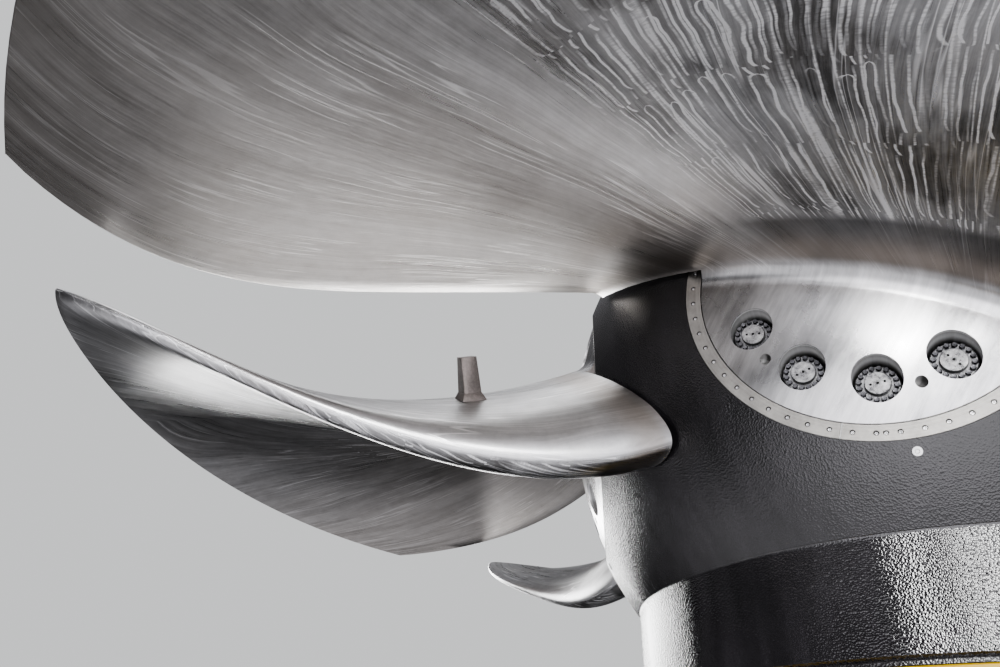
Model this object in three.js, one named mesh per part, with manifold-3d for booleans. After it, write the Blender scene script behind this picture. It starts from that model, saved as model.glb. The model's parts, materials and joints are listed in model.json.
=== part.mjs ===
// Kaplan turbine runner with five adjustable blades, standing nose up on its assembly stand.
// Millimetres, +Z up. The origin is the middle of the stand's base, on the floor.
// Blade 1 points along +X and the others follow it clockwise as seen from above.
// The blades are shown nearly closed, with their blunt leading edges low.

import * as THREE from 'three';
import { mergeVertices } from 'three/addons/utils/BufferGeometryUtils.js';
import Module from 'manifold-3d';

// Runner
const BLADE_COUNT = 5;
const BLADE_STEP_DEG = 360 / BLADE_COUNT;
const TIP_RADIUS = 5250;
const HUB_CENTRE_HEIGHT = 3780;
const FIT_GAP = 0.3; // between pieces bolted face to face

// Hub
const HUB_SPHERE_RADIUS = 2100;
const HUB_TOP = 1250; // heights on the hub are counted from its centre
const HUB_BOTTOM = -1190;
const LOWER_CYLINDER_RADIUS = 1722;
const LOWER_CYLINDER_BOTTOM = -1692;
const LOWER_CYLINDER_CHAMFER = 14;
const SHAFT_FLANGE_RADIUS = 1716;
const SHAFT_FLANGE_THICKNESS = 28;
const NOSE_FLANGE_RADIUS = 1560;
const NOSE_FLANGE_THICKNESS = 110;
const NOSE_SPIGOT_RADIUS = 1080;
const NOSE_SPIGOT_HEIGHT = 60;

// Blade root: flange, seal ring and trunnion, along the blade's axis from the hub centre
const FLANGE_FACE = 1914;
const FLANGE_RADIUS = 785;
const FLANGE_THICKNESS = 330;
const FLANGE_DOME_RADIUS = Math.hypot( FLANGE_FACE, FLANGE_RADIUS ); // about the hub centre, flush with the ring
const FLANGE_DOME_STEPS = 5;
const SEAL_RING_INNER_RADIUS = 796;
const SEAL_RING_OUTER_RADIUS = 865;
const SEAL_RING_THICKNESS = 60;
const SEAL_RING_SPLIT_DEG = -18.8;
const SEAL_RING_SPLIT_GAP = 2;
const RING_HALF_STEPS = 8;
const TRUNNION_DISC_RADIUS = 775;
const TRUNNION_DISC_THICKNESS = 300;
const TRUNNION_SHAFT_RADIUS = 340;
const TRUNNION_INNER_END = 640;
const RUNNING_GAP = 8;
const BEARING_CLEARANCE = 0.95;
const BEARING_SEGMENTS = 44;
const ROUND_SEGMENTS = 30;
const HUB_SEGMENTS = 40;
const HUB_SPHERE_STEPS = 8;

// Stud tensioners in the flange, on a circle at these angles from straight down: four below the blade
// and three above it, where it leaves room
const POCKET_CIRCLES = [
	{ radius: 593, angles: [ -69.2, -38, -7, 24 ] },
	{ radius: 620, angles: [ 134.5, 161, 187.5 ] },
];
const POCKET_RADIUS = 105;
const POCKET_DEPTH = 120; // below the seal ring's face
const STUD_RADIUS = 55;
const STUD_HOLE_RADIUS = 58;
const TENSIONER_RADIUS = 98;
const TENSIONER_HEIGHT = 125;
const PLUG_HOLE_CIRCLE_RADIUS = 643;
const PLUG_HOLE_RADIUS = 26;
const PLUG_HOLE_DEPTH = 20;
const PLUG_HOLE_ANGLES_DEG = [ -53.4, 8.3 ];
const POCKET_SEGMENTS = 10;
const STUD_SEGMENTS = 6;

// Blade edges as smooth curves over the radius, from EDGE_INNER_RADIUS to TIP_RADIUS:
// azimuths from the blade's axis in degrees, heights from the hub centre
const EDGE_INNER_RADIUS = 2143;
const LEADING_EDGE = {
	azimuths: [ 39, 29.5, 22.6, 28.4, 21.4 ],
	heights: [ -692, -963, -447, -298, 185 ],
};
const TRAILING_EDGE = {
	azimuths: [ -46.2, -54.9, -54.1, -54.2, -36.9 ],
	heights: [ 630, 681, 668, 395, 59 ],
};
// Sections, drawn in the same way from the root to the tip. Each side has its own depth from the
// middle line and its own nose: the upper corner sharpens towards the tip.
const CAMBER = [ 248, 579, 50 ];
const CAMBER_SKEW = 0.24; // moves the highest point towards the leading edge
const UPPER_SIDE = { depth: [ 288, -56, 49 ], noseRadius: [ 100, 35, 28, 4 ] };
const LOWER_SIDE = { depth: [ 288, -22, 98 ], noseRadius: [ 136, 51, 70, 25 ] };
const TAIL_HALF_THICKNESS = [ 23, 20, 10 ];
const TAPER_POWER = 3.3;
const NOSE_BLEND_POWER = 3;
const ROOT_FILLET_RADIUS = 99;
const FILLET_STEPS = 3;
const FILLET_FOOT_DEPTH = 70; // how far the blade reaches into its flange
const HUB_CLEARANCE_RADIUS = HUB_SPHERE_RADIUS + 30;
const HUB_CLEARANCE_SEGMENTS = 32;
const HUB_CLEARANCE_OVERLAP = 8; // how far the clearance reaches over the flange's rim
const SPAN_SHARES = [ 0.1, 0.22, 0.36, 0.52, 0.68, 0.84, 1 ]; // from the fillet to the tip
const CHORD_STEPS = 11;

// Lifting lug on each blade's upper side
const LUG_RADIUS = 2850;
const LUG_CHORD_SHARE = 0.167;
const LUG_TURN_DEG = 34; // its front is turned towards the hub
const LUG_HEIGHT = 257;
const LUG_FOOT = { width: 107, depth: 154 };
const LUG_TOP = { width: 93, depth: 99 };
const LUG_WELD_WIDTH = 20;
const LUG_WELD_HEIGHT = 45;

// Assembly stand
const STAND_TOP_RADIUS = 1740;
const STAND_TOP_THICKNESS = 120;
const STAND_BASE_RADIUS = 1900;
const STAND_BASE_THICKNESS = 80;
const STAND_LEG_COUNT = 6;
const STAND_LEG_CIRCLE_RADIUS = 1400;
const STAND_LEG_WIDTH = 320;
const STAND_LEG_DEPTH = 420;
const STAND_WEB_THICKNESS = 40;

const COLOURS = {
	blackPaint: { color: 0x1c1c20, roughness: 0.45, metalness: 0.1 },
	glossBlackPaint: { color: 0x17171a, roughness: 0.25, metalness: 0.1 },
	groundSteel: { color: 0x9a9a9c, roughness: 0.38, metalness: 1 },
	ringSteel: { color: 0x8b8a88, roughness: 0.42, metalness: 1 },
	studSteel: { color: 0x77777a, roughness: 0.4, metalness: 1 },
	lugSteel: { color: 0xa3a3a6, roughness: 0.5, metalness: 0.9 },
	yellowPaint: { color: 0xe2b007, roughness: 0.5, metalness: 0.05 },
	greyPaint: { color: 0x55565a, roughness: 0.5, metalness: 0.05 },
};

const wasm = await Module();
wasm.setup();
const radians = THREE.MathUtils.degToRad;
const { lerp } = THREE.MathUtils;

// Closed bodies

function signedVolume( geometry ) {

	const [ a, b, c ] = [ new THREE.Vector3(), new THREE.Vector3(), new THREE.Vector3() ];
	const { index, attributes: { position } } = geometry;
	let volume = 0;
	for ( let i = 0; i < index.count; i += 3 ) {

		a.fromBufferAttribute( position, index.getX( i ) );
		b.fromBufferAttribute( position, index.getX( i + 1 ) );
		c.fromBufferAttribute( position, index.getX( i + 2 ) );
		volume += a.dot( b.cross( c ) ) / 6;

	}

	return volume;

}

function closedBody( source ) {

	const bare = source.clone();
	bare.deleteAttribute( 'normal' );
	bare.deleteAttribute( 'uv' );
	const merged = mergeVertices( bare );
	const corners = [];
	for ( let i = 0; i < merged.index.count; i += 3 ) {

		const [ a, b, c ] = [ 0, 1, 2 ].map( ( k ) => merged.index.getX( i + k ) );
		if ( a !== b && b !== c && c !== a ) corners.push( a, b, c );

	}

	merged.setIndex( corners );
	if ( signedVolume( merged ) < 0 ) merged.setIndex( corners.reverse() );
	return merged;

}

function solidFrom( source ) {

	const body = closedBody( source );
	const vertProperties = new Float32Array( body.attributes.position.array );
	const triVerts = new Uint32Array( body.index.array );
	return new wasm.Manifold( new wasm.Mesh( { numProp: 3, vertProperties, triVerts } ) );

}

function geometryFrom( solid ) {

	const { vertProperties, triVerts } = solid.getMesh();
	const geometry = new THREE.BufferGeometry();
	geometry.setAttribute( 'position', new THREE.BufferAttribute( new Float32Array( vertProperties ), 3 ) );
	geometry.setIndex( new THREE.BufferAttribute( new Uint32Array( triVerts ), 1 ) );
	return geometry;

}

// A profile of [radius, height] pairs turned about Z
function turned( profile, segments = ROUND_SEGMENTS ) {

	const points = profile.map( ( [ radius, height ] ) => new THREE.Vector2( radius, height ) );
	return new THREE.LatheGeometry( points, segments ).rotateX( Math.PI / 2 );

}

// The same profile turned about X, the axis of blade 1
function turnedAboutX( profile, segments = ROUND_SEGMENTS ) {

	return turned( profile, segments ).rotateY( Math.PI / 2 );

}

function rod( radius, from, to ) {

	return [ [ 0, from ], [ radius, from ], [ radius, to ], [ 0, to ] ];

}

// A point on the flange face, at an angle from straight down towards the leading side
function onFlange( circleRadius, angleDeg ) {

	const angle = radians( angleDeg );
	return new THREE.Vector3( 0, circleRadius * Math.sin( angle ), - circleRadius * Math.cos( angle ) );

}

function alongFlange( profile, circleRadius, angleDeg, segments ) {

	const { y, z } = onFlange( circleRadius, angleDeg );
	return solidFrom( turnedAboutX( profile, segments ).translate( 0, y, z ) );

}

function forEachPocket( action ) {

	for ( const { radius, angles } of POCKET_CIRCLES ) {

		for ( const angle of angles ) action( radius, angle );

	}

}

// Hub

function bladeSocketCutter( index ) {

	const ringSeat = FLANGE_FACE - SEAL_RING_THICKNESS - FIT_GAP;
	const discSeat = FLANGE_FACE - FLANGE_THICKNESS - TRUNNION_DISC_THICKNESS - RUNNING_GAP;
	const bearingRadius = TRUNNION_SHAFT_RADIUS + BEARING_CLEARANCE;
	const socketRadius = SEAL_RING_INNER_RADIUS + 2;
	const ringSeatRadius = ( SEAL_RING_OUTER_RADIUS + FIT_GAP ) / Math.cos( Math.PI / ROUND_SEGMENTS );
	const profile = [
		[ 0, discSeat ],
		[ socketRadius, discSeat ],
		[ socketRadius, ringSeat ],
		[ ringSeatRadius, ringSeat ],
		[ ringSeatRadius, HUB_SPHERE_RADIUS + 100 ],
		[ 0, HUB_SPHERE_RADIUS + 100 ],
	];
	const turn = - radians( index * BLADE_STEP_DEG );
	const bearing = turnedAboutX( rod( bearingRadius, TRUNNION_INNER_END - RUNNING_GAP, discSeat + 1 ), BEARING_SEGMENTS );
	return solidFrom( turnedAboutX( profile ).rotateZ( turn ) ).add( solidFrom( bearing.rotateZ( turn ) ) );

}

function hubBody() {

	const profile = [ [ 0, HUB_BOTTOM ] ];
	const lowest = Math.asin( HUB_BOTTOM / HUB_SPHERE_RADIUS );
	const highest = Math.asin( HUB_TOP / HUB_SPHERE_RADIUS );
	for ( let i = 0; i <= HUB_SPHERE_STEPS; i ++ ) {

		const latitude = lerp( lowest, highest, i / HUB_SPHERE_STEPS );
		profile.push( [ HUB_SPHERE_RADIUS * Math.cos( latitude ), HUB_SPHERE_RADIUS * Math.sin( latitude ) ] );

	}

	profile.push( [ 0, HUB_TOP ] );
	let hub = solidFrom( turned( profile, HUB_SEGMENTS ) );
	for ( let i = 0; i < BLADE_COUNT; i ++ ) hub = hub.subtract( bladeSocketCutter( i ) );
	return geometryFrom( hub );

}

function lowerCylinder() {

	const top = HUB_BOTTOM - FIT_GAP;
	const edge = LOWER_CYLINDER_RADIUS - LOWER_CYLINDER_CHAMFER;
	return turned( [
		[ 0, LOWER_CYLINDER_BOTTOM ],
		[ edge, LOWER_CYLINDER_BOTTOM ],
		[ LOWER_CYLINDER_RADIUS, LOWER_CYLINDER_BOTTOM + LOWER_CYLINDER_CHAMFER ],
		[ LOWER_CYLINDER_RADIUS, top ],
		[ 0, top ],
	], HUB_SEGMENTS );

}

function shaftFlange() {

	const top = LOWER_CYLINDER_BOTTOM - FIT_GAP;
	return turned( rod( SHAFT_FLANGE_RADIUS, top - SHAFT_FLANGE_THICKNESS, top ) );

}

function noseFlange() {

	const bottom = HUB_TOP + FIT_GAP;
	const face = bottom + NOSE_FLANGE_THICKNESS;
	return turned( [
		[ 0, bottom ],
		[ NOSE_FLANGE_RADIUS, bottom ],
		[ NOSE_FLANGE_RADIUS, face ],
		[ NOSE_SPIGOT_RADIUS, face ],
		[ NOSE_SPIGOT_RADIUS, face + NOSE_SPIGOT_HEIGHT ],
		[ 0, face + NOSE_SPIGOT_HEIGHT ],
	] );

}

// Half of a seal ring, starting at an angle from straight down
function sealRingHalf( startDeg ) {

	const gapAngle = SEAL_RING_SPLIT_GAP / 2 / SEAL_RING_INNER_RADIUS;
	const start = radians( startDeg - 90 ) + gapAngle;
	const end = radians( startDeg + 90 ) - gapAngle;
	const outline = new THREE.Shape();
	outline.absarc( 0, 0, SEAL_RING_OUTER_RADIUS, start, end, false );
	outline.absarc( 0, 0, SEAL_RING_INNER_RADIUS, end, start, true );
	const settings = { depth: SEAL_RING_THICKNESS, bevelEnabled: false, curveSegments: RING_HALF_STEPS };
	const ring = new THREE.ExtrudeGeometry( outline, settings );
	const toFlange = new THREE.Matrix4().makeBasis(
		new THREE.Vector3( 0, 1, 0 ), new THREE.Vector3( 0, 0, 1 ), new THREE.Vector3( 1, 0, 0 ) );
	return closedBody( ring.applyMatrix4( toFlange ).translate( FLANGE_FACE - SEAL_RING_THICKNESS, 0, 0 ) );

}

// Trunnion with its studs and tensioner heads

function trunnion() {

	const back = FLANGE_FACE - FLANGE_THICKNESS - FIT_GAP;
	const discBack = back - TRUNNION_DISC_THICKNESS;
	const shaft = turnedAboutX( rod( TRUNNION_SHAFT_RADIUS, TRUNNION_INNER_END, discBack + 1 ), BEARING_SEGMENTS );
	let body = solidFrom( shaft ).add( solidFrom( turnedAboutX( rod( TRUNNION_DISC_RADIUS, discBack, back ) ) ) );
	const seat = FLANGE_FACE - POCKET_DEPTH + FIT_GAP;
	const stud = rod( STUD_RADIUS, discBack + TRUNNION_DISC_THICKNESS / 2, seat + TENSIONER_HEIGHT / 2 );
	const head = rod( TENSIONER_RADIUS, seat, seat + TENSIONER_HEIGHT );
	forEachPocket( ( radius, angle ) => {

		body = body.add( alongFlange( stud, radius, angle, STUD_SEGMENTS ) );
		body = body.add( alongFlange( head, radius, angle, POCKET_SEGMENTS ) );

	} );

	return geometryFrom( body );

}

// Blade

// A smooth curve through the first and last of its control values, drawn towards the others
function curveAt( controls, t ) {

	let values = controls;
	while ( values.length > 1 ) values = values.slice( 1 ).map( ( value, i ) => lerp( values[ i ], value, t ) );
	return values[ 0 ];

}

// The section of the blade on a cylinder around the runner's axis: its chord in arc length and height
function sectionAt( radius ) {

	const span = ( radius - EDGE_INNER_RADIUS ) / ( TIP_RADIUS - EDGE_INNER_RADIUS );
	const reach = Math.max( span, 0 );
	const leading = new THREE.Vector2(
		radius * radians( curveAt( LEADING_EDGE.azimuths, span ) ), curveAt( LEADING_EDGE.heights, span ) );
	const trailing = new THREE.Vector2(
		radius * radians( curveAt( TRAILING_EDGE.azimuths, span ) ), curveAt( TRAILING_EDGE.heights, span ) );
	const chord = trailing.clone().sub( leading );
	return {
		leading,
		chord,
		up: new THREE.Vector2( chord.y, - chord.x ).normalize(),
		reach,
		camber: curveAt( CAMBER, reach ),
	};

}

function middleLine( section, share ) {

	const rise = section.camber * 4 * share * ( 1 - share ) * ( 1 + CAMBER_SKEW * ( 1 - 2 * share ) );
	return section.leading.clone()
		.addScaledVector( section.chord, share )
		.addScaledVector( section.up, rise );

}

// How far one side lies from the middle line: a round nose blended into a body that tapers to the tail
function sideDepth( section, side, share ) {

	if ( share === 0 ) return 0;
	const noseRadius = curveAt( side.noseRadius, section.reach );
	const nose = Math.sqrt( 2 * noseRadius * section.chord.length() * share );
	const tail = curveAt( TAIL_HALF_THICKNESS, section.reach );
	const body = lerp( curveAt( side.depth, section.reach ), tail, share ** TAPER_POWER );
	return ( nose ** - NOSE_BLEND_POWER + body ** - NOSE_BLEND_POWER ) ** ( - 1 / NOSE_BLEND_POWER );

}

// One point of the blade's skin: place runs from -1 at the tail along the lower side to 0 at the nose
// and along the upper side to 1 at the tail
function skinPoint( radius, place ) {

	const section = sectionAt( radius );
	const share = place * place;
	const step = 1e-3;
	const middle = middleLine( section, share );
	const ahead = middleLine( section, share + step ).sub( middleLine( section, share - step ) );
	const up = new THREE.Vector2( ahead.y, - ahead.x ).normalize();
	const side = place > 0 ? UPPER_SIDE : LOWER_SIDE;
	const point = middle.addScaledVector( up, Math.sign( place ) * sideDepth( section, side, share ) );
	const azimuth = point.x / radius;
	return new THREE.Vector3( radius * Math.cos( azimuth ), radius * Math.sin( azimuth ), point.y );

}

function skinNormal( radius, place ) {

	const [ sideStep, spanStep ] = [ 1e-3, 2 ];
	const across = skinPoint( radius, place + sideStep ).sub( skinPoint( radius, place - sideStep ) );
	const outward = skinPoint( radius + spanStep, place ).sub( skinPoint( radius - spanStep, place ) );
	return across.cross( outward ).normalize();

}

// The line of skin points at one place, from inside the flange through the root fillet out to the tip.
// The fillet is the arc of a ball that touches both the skin and the flange's dome.
function skinLine( place ) {

	const ballCentre = ( radius ) =>
		skinPoint( radius, place ).addScaledVector( skinNormal( radius, place ), ROOT_FILLET_RADIUS );
	let [ low, high ] = [ 1500, 3200 ];
	while ( high - low > 0.01 ) {

		const radius = ( low + high ) / 2;
		if ( ballCentre( radius ).length() < FLANGE_DOME_RADIUS + ROOT_FILLET_RADIUS ) low = radius;
		else high = radius;

	}

	const centre = ballCentre( low );
	const foot = centre.clone().setLength( FLANGE_DOME_RADIUS );
	const from = foot.clone().sub( centre );
	const towards = skinPoint( low, place ).sub( centre );
	const angle = from.angleTo( towards );
	const line = [ foot.clone().setLength( FLANGE_DOME_RADIUS - FILLET_FOOT_DEPTH ) ];
	for ( let i = 0; i <= FILLET_STEPS; i ++ ) {

		const share = i / FILLET_STEPS;
		const arm = from.clone().multiplyScalar( Math.sin( ( 1 - share ) * angle ) / Math.sin( angle ) );
		line.push( arm.addScaledVector( towards, Math.sin( share * angle ) / Math.sin( angle ) ).add( centre ) );

	}

	for ( const share of SPAN_SHARES ) line.push( skinPoint( lerp( low, TIP_RADIUS, share ), place ) );
	return line;

}

// Lines of skin points around the blade, joined side by side and closed with a strip at each end
function foil() {

	const lines = [];
	for ( let i = - CHORD_STEPS; i <= CHORD_STEPS; i ++ ) lines.push( skinLine( i / CHORD_STEPS ) );
	const around = lines.length;
	const along = lines[ 0 ].length;
	const corners = [];
	for ( let i = 0; i < around; i ++ ) {

		for ( let j = 0; j < along - 1; j ++ ) {

			const a = i * along + j;
			const b = ( i + 1 ) % around * along + j;
			corners.push( a, b, a + 1, b, b + 1, a + 1 );

		}

	}

	for ( const [ end, flip ] of [ [ 0, false ], [ along - 1, true ] ] ) {

		const strip = [];
		for ( let i = 0; i < CHORD_STEPS; i ++ ) {

			const [ low, nextLow, nextHigh, high ] = [ i, i + 1, around - 2 - i, around - 1 - i ];
			strip.push( low, high, nextLow );
			if ( nextLow !== nextHigh ) strip.push( high, nextHigh, nextLow );

		}

		const flat = strip.map( ( line ) => line * along + end );
		for ( let k = 0; k < flat.length; k += 3 ) {

			const [ a, b, c ] = flat.slice( k, k + 3 );
			corners.push( ...( flip ? [ a, c, b ] : [ a, b, c ] ) );

		}

	}

	const geometry = new THREE.BufferGeometry().setFromPoints( lines.flat() );
	geometry.setIndex( corners );
	return geometry;

}

// The root flange, whose outer face is part of a sphere about the hub centre
function rootFlange() {

	const back = FLANGE_FACE - FLANGE_THICKNESS;
	const profile = [ [ 0, back ], [ FLANGE_RADIUS, back ] ];
	for ( let i = FLANGE_DOME_STEPS; i >= 0; i -- ) {

		const radius = FLANGE_RADIUS * i / FLANGE_DOME_STEPS;
		profile.push( [ radius, Math.sqrt( FLANGE_DOME_RADIUS ** 2 - radius ** 2 ) ] );

	}

	return solidFrom( turnedAboutX( profile ) );

}

// The hub's sphere with running clearance, open over the root flange
function hubClearance() {

	const around = HUB_CLEARANCE_SEGMENTS;
	const sphere = solidFrom( new THREE.SphereGeometry( HUB_CLEARANCE_RADIUS, around, around / 2 ) );
	const opening = rod( FLANGE_RADIUS - HUB_CLEARANCE_OVERLAP, 0, 2 * HUB_CLEARANCE_RADIUS );
	return sphere.subtract( solidFrom( turnedAboutX( opening ).rotateX( Math.PI / ROUND_SEGMENTS ) ) );

}

function blade() {

	const floor = FLANGE_FACE - POCKET_DEPTH;
	const outside = FLANGE_DOME_RADIUS + ROOT_FILLET_RADIUS;
	let body = solidFrom( foil() ).subtract( hubClearance() ).add( rootFlange() );
	const pocket = rod( POCKET_RADIUS, floor, outside );
	const studHole = rod( STUD_HOLE_RADIUS, FLANGE_FACE - 2 * FLANGE_THICKNESS, outside );
	forEachPocket( ( radius, angle ) => {

		body = body.subtract( alongFlange( pocket, radius, angle, POCKET_SEGMENTS ) );
		body = body.subtract( alongFlange( studHole, radius, angle, STUD_SEGMENTS ) );

	} );

	const plugHole = rod( PLUG_HOLE_RADIUS, FLANGE_FACE - PLUG_HOLE_DEPTH, outside );
	for ( const angle of PLUG_HOLE_ANGLES_DEG ) {

		body = body.subtract( alongFlange( plugHole, PLUG_HOLE_CIRCLE_RADIUS, angle, STUD_SEGMENTS ) );

	}

	return geometryFrom( body );

}

// Place and slope of the blade's upper side under the lug
function lugSeat() {

	const place = Math.sqrt( LUG_CHORD_SHARE );
	const [ sideStep, spanStep ] = [ 0.02, 100 ];
	const seat = skinPoint( LUG_RADIUS, place );
	const outward = skinPoint( LUG_RADIUS + spanStep, place )
		.sub( skinPoint( LUG_RADIUS - spanStep, place ) ).normalize();
	const across = skinPoint( LUG_RADIUS, place - sideStep ).sub( skinPoint( LUG_RADIUS, place + sideStep ) );
	const up = outward.clone().cross( across ).normalize();
	return { seat, outward, across: up.clone().cross( outward ), up };

}

// A block whose width and depth change evenly from its low end to its high end
function taperedBlock( low, high ) {

	const block = new THREE.BoxGeometry( 1, 1, 1 );
	const { position } = block.attributes;
	for ( let i = 0; i < position.count; i ++ ) {

		const end = position.getZ( i ) < 0 ? low : high;
		position.setXYZ( i, position.getX( i ) * end.width, position.getY( i ) * end.depth, end.level );

	}

	return block;

}

// Lifting lug: a tapered block with a weld around its foot, cut to the blade's upper side
function lug() {

	const lugAt = ( level, margin ) => ( {
		width: lerp( LUG_FOOT.width, LUG_TOP.width, level / LUG_HEIGHT ) + 2 * margin,
		depth: lerp( LUG_FOOT.depth, LUG_TOP.depth, level / LUG_HEIGHT ) + 2 * margin,
		level,
	} );
	const block = taperedBlock( lugAt( - LUG_WELD_HEIGHT, 0 ), lugAt( LUG_HEIGHT, 0 ) );
	const weld = taperedBlock( lugAt( - LUG_WELD_HEIGHT, 2 * LUG_WELD_WIDTH ), lugAt( LUG_WELD_HEIGHT, 1 ) );
	const { seat, outward, across, up } = lugSeat();
	const place = new THREE.Matrix4().makeBasis( outward, across, up ).setPosition( seat )
		.multiply( new THREE.Matrix4().makeRotationZ( radians( LUG_TURN_DEG ) ) );
	const skin = foil().translate( ...up.clone().multiplyScalar( FIT_GAP ) );
	const body = solidFrom( weld.applyMatrix4( place ) ).add( solidFrom( block.applyMatrix4( place ) ) );
	return geometryFrom( body.subtract( solidFrom( skin ) ) );

}

// Stand

function standLeg() {

	const low = STAND_BASE_THICKNESS + FIT_GAP;
	const high = HUB_CENTRE_HEIGHT + LOWER_CYLINDER_BOTTOM - SHAFT_FLANGE_THICKNESS - 2 * FIT_GAP
		- STAND_TOP_THICKNESS - FIT_GAP;
	const half = STAND_LEG_WIDTH / 2;
	const web = STAND_WEB_THICKNESS / 2;
	const flange = STAND_LEG_DEPTH / 2 - STAND_WEB_THICKNESS;
	const outline = new THREE.Shape( [
		[ - STAND_LEG_DEPTH / 2, - half ], [ - flange, - half ], [ - flange, - web ], [ flange, - web ],
		[ flange, - half ], [ STAND_LEG_DEPTH / 2, - half ], [ STAND_LEG_DEPTH / 2, half ], [ flange, half ],
		[ flange, web ], [ - flange, web ], [ - flange, half ], [ - STAND_LEG_DEPTH / 2, half ],
	].map( ( [ x, y ] ) => new THREE.Vector2( x, y ) ) );
	const settings = { depth: high - low, bevelEnabled: false };
	return closedBody( new THREE.ExtrudeGeometry( outline, settings ).translate( 0, 0, low ) );

}

// Assembly

function piece( name, geometry, finish ) {

	const mesh = new THREE.Mesh( geometry, new THREE.MeshStandardMaterial( COLOURS[ finish ] ) );
	mesh.name = name;
	return mesh;

}

const assembly = new THREE.Group();
const runner = new THREE.Group();
runner.position.z = HUB_CENTRE_HEIGHT;
assembly.add( runner );

runner.add( piece( 'hub_body', hubBody(), 'blackPaint' ) );
runner.add( piece( 'hub_lower_cylinder', closedBody( lowerCylinder() ), 'glossBlackPaint' ) );
runner.add( piece( 'hub_shaft_flange', closedBody( shaftFlange() ), 'glossBlackPaint' ) );
runner.add( piece( 'hub_nose_flange', closedBody( noseFlange() ), 'blackPaint' ) );

const bladeGeometry = blade();
const trunnionGeometry = trunnion();
const lowerHalfGeometry = sealRingHalf( SEAL_RING_SPLIT_DEG - 90 );
const upperHalfGeometry = sealRingHalf( SEAL_RING_SPLIT_DEG + 90 );
const lugGeometry = lug();

for ( let i = 0; i < BLADE_COUNT; i ++ ) {

	const number = i + 1;
	const station = new THREE.Group();
	station.rotation.z = - radians( i * BLADE_STEP_DEG );
	station.add( piece( `blade_${ number }`, bladeGeometry, 'groundSteel' ) );
	station.add( piece( `trunnion_${ number }`, trunnionGeometry, 'studSteel' ) );
	station.add( piece( `seal_ring_${ number }_left`, lowerHalfGeometry, 'ringSteel' ) );
	station.add( piece( `seal_ring_${ number }_right`, upperHalfGeometry, 'ringSteel' ) );
	station.add( piece( `lifting_lug_${ number }`, lugGeometry, 'lugSteel' ) );
	runner.add( station );

}

const standTop = HUB_CENTRE_HEIGHT + LOWER_CYLINDER_BOTTOM - SHAFT_FLANGE_THICKNESS - 2 * FIT_GAP;
const basePlate = turned( rod( STAND_BASE_RADIUS, 0, STAND_BASE_THICKNESS ) );
assembly.add( piece( 'stand_base_plate', closedBody( basePlate ), 'greyPaint' ) );
const topPlate = turned( rod( STAND_TOP_RADIUS, standTop - STAND_TOP_THICKNESS, standTop ) );
assembly.add( piece( 'stand_top_plate', closedBody( topPlate ), 'yellowPaint' ) );
for ( let i = 0; i < STAND_LEG_COUNT; i ++ ) {

	const leg = piece( `stand_leg_${ i + 1 }`, standLeg(), 'greyPaint' );
	const azimuth = 2 * Math.PI * ( i + 0.5 ) / STAND_LEG_COUNT;
	leg.rotation.z = azimuth;
	leg.position.set( STAND_LEG_CIRCLE_RADIUS * Math.cos( azimuth ), STAND_LEG_CIRCLE_RADIUS * Math.sin( azimuth ), 0 );
	assembly.add( leg );

}

export default assembly;
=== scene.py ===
"""Kaplan turbine runner: five adjustable blades of ground steel on a black hub, nose up on its stand."""

import json
import math

import bmesh
import bpy
import numpy as np
from bpy.props import FloatProperty, FloatVectorProperty, IntProperty, PointerProperty
from mathutils import Matrix, Vector


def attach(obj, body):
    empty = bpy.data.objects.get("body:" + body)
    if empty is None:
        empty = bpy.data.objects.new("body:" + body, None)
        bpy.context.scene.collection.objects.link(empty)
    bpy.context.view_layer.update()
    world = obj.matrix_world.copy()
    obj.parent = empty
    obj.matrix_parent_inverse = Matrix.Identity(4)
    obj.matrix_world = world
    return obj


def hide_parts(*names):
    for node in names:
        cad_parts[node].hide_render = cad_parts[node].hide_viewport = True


bl_info = {
    "name": "Kaplan turbine runner",
    "version": (1, 0, 0),
    "blender": (4, 5, 0),
    "location": "View3D > Sidebar > Runner",
    "description": "Builds a five-bladed adjustable turbine runner on its assembly stand",
    "category": "Object",
}

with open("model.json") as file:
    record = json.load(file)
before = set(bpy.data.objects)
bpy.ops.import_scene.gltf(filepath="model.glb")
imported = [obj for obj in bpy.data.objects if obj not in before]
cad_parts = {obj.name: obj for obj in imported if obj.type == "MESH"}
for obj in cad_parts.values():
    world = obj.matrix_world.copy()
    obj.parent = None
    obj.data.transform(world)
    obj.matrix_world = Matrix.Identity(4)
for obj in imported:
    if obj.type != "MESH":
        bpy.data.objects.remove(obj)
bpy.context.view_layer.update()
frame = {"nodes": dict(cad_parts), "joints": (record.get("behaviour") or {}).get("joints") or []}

# Metres. The runner's own frame has its origin at the hub centre, X along the axis of blade 1 and Z up.
HUB_CENTRE = Vector(frame["joints"][0]["pos_m"])
RUNNER_PLACE = Matrix.Translation(HUB_CENTRE)
AS_MADE = Matrix.Identity(4)
BLADE_COUNT = 5
BLADE_STEP = math.radians(72)
FIT_GAP = 0.0003
RUNNING_GAP = 0.008

# Hub
SPHERE_RADIUS = 2.1
HUB_TOP = 1.25
HUB_BOTTOM = -1.19
CYLINDER_RADIUS = 1.722
CYLINDER_BOTTOM = -1.692
SHAFT_FLANGE_RADIUS = 1.716
SHAFT_FLANGE_THICKNESS = 0.028
NOSE_FLANGE_RADIUS = 1.56
NOSE_FLANGE_THICKNESS = 0.11
NOSE_SPIGOT_RADIUS = 1.08
NOSE_SPIGOT_HEIGHT = 0.06
NOSE_BOLT_CIRCLE = 1.38
# A plug in the hub under each blade root, as a direction from the blade's axis
HUB_PLUG_RADIUS = 0.022
HUB_PLUG_AZIMUTH, HUB_PLUG_ELEVATION = math.radians(0.19), math.radians(-25.8)

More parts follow.
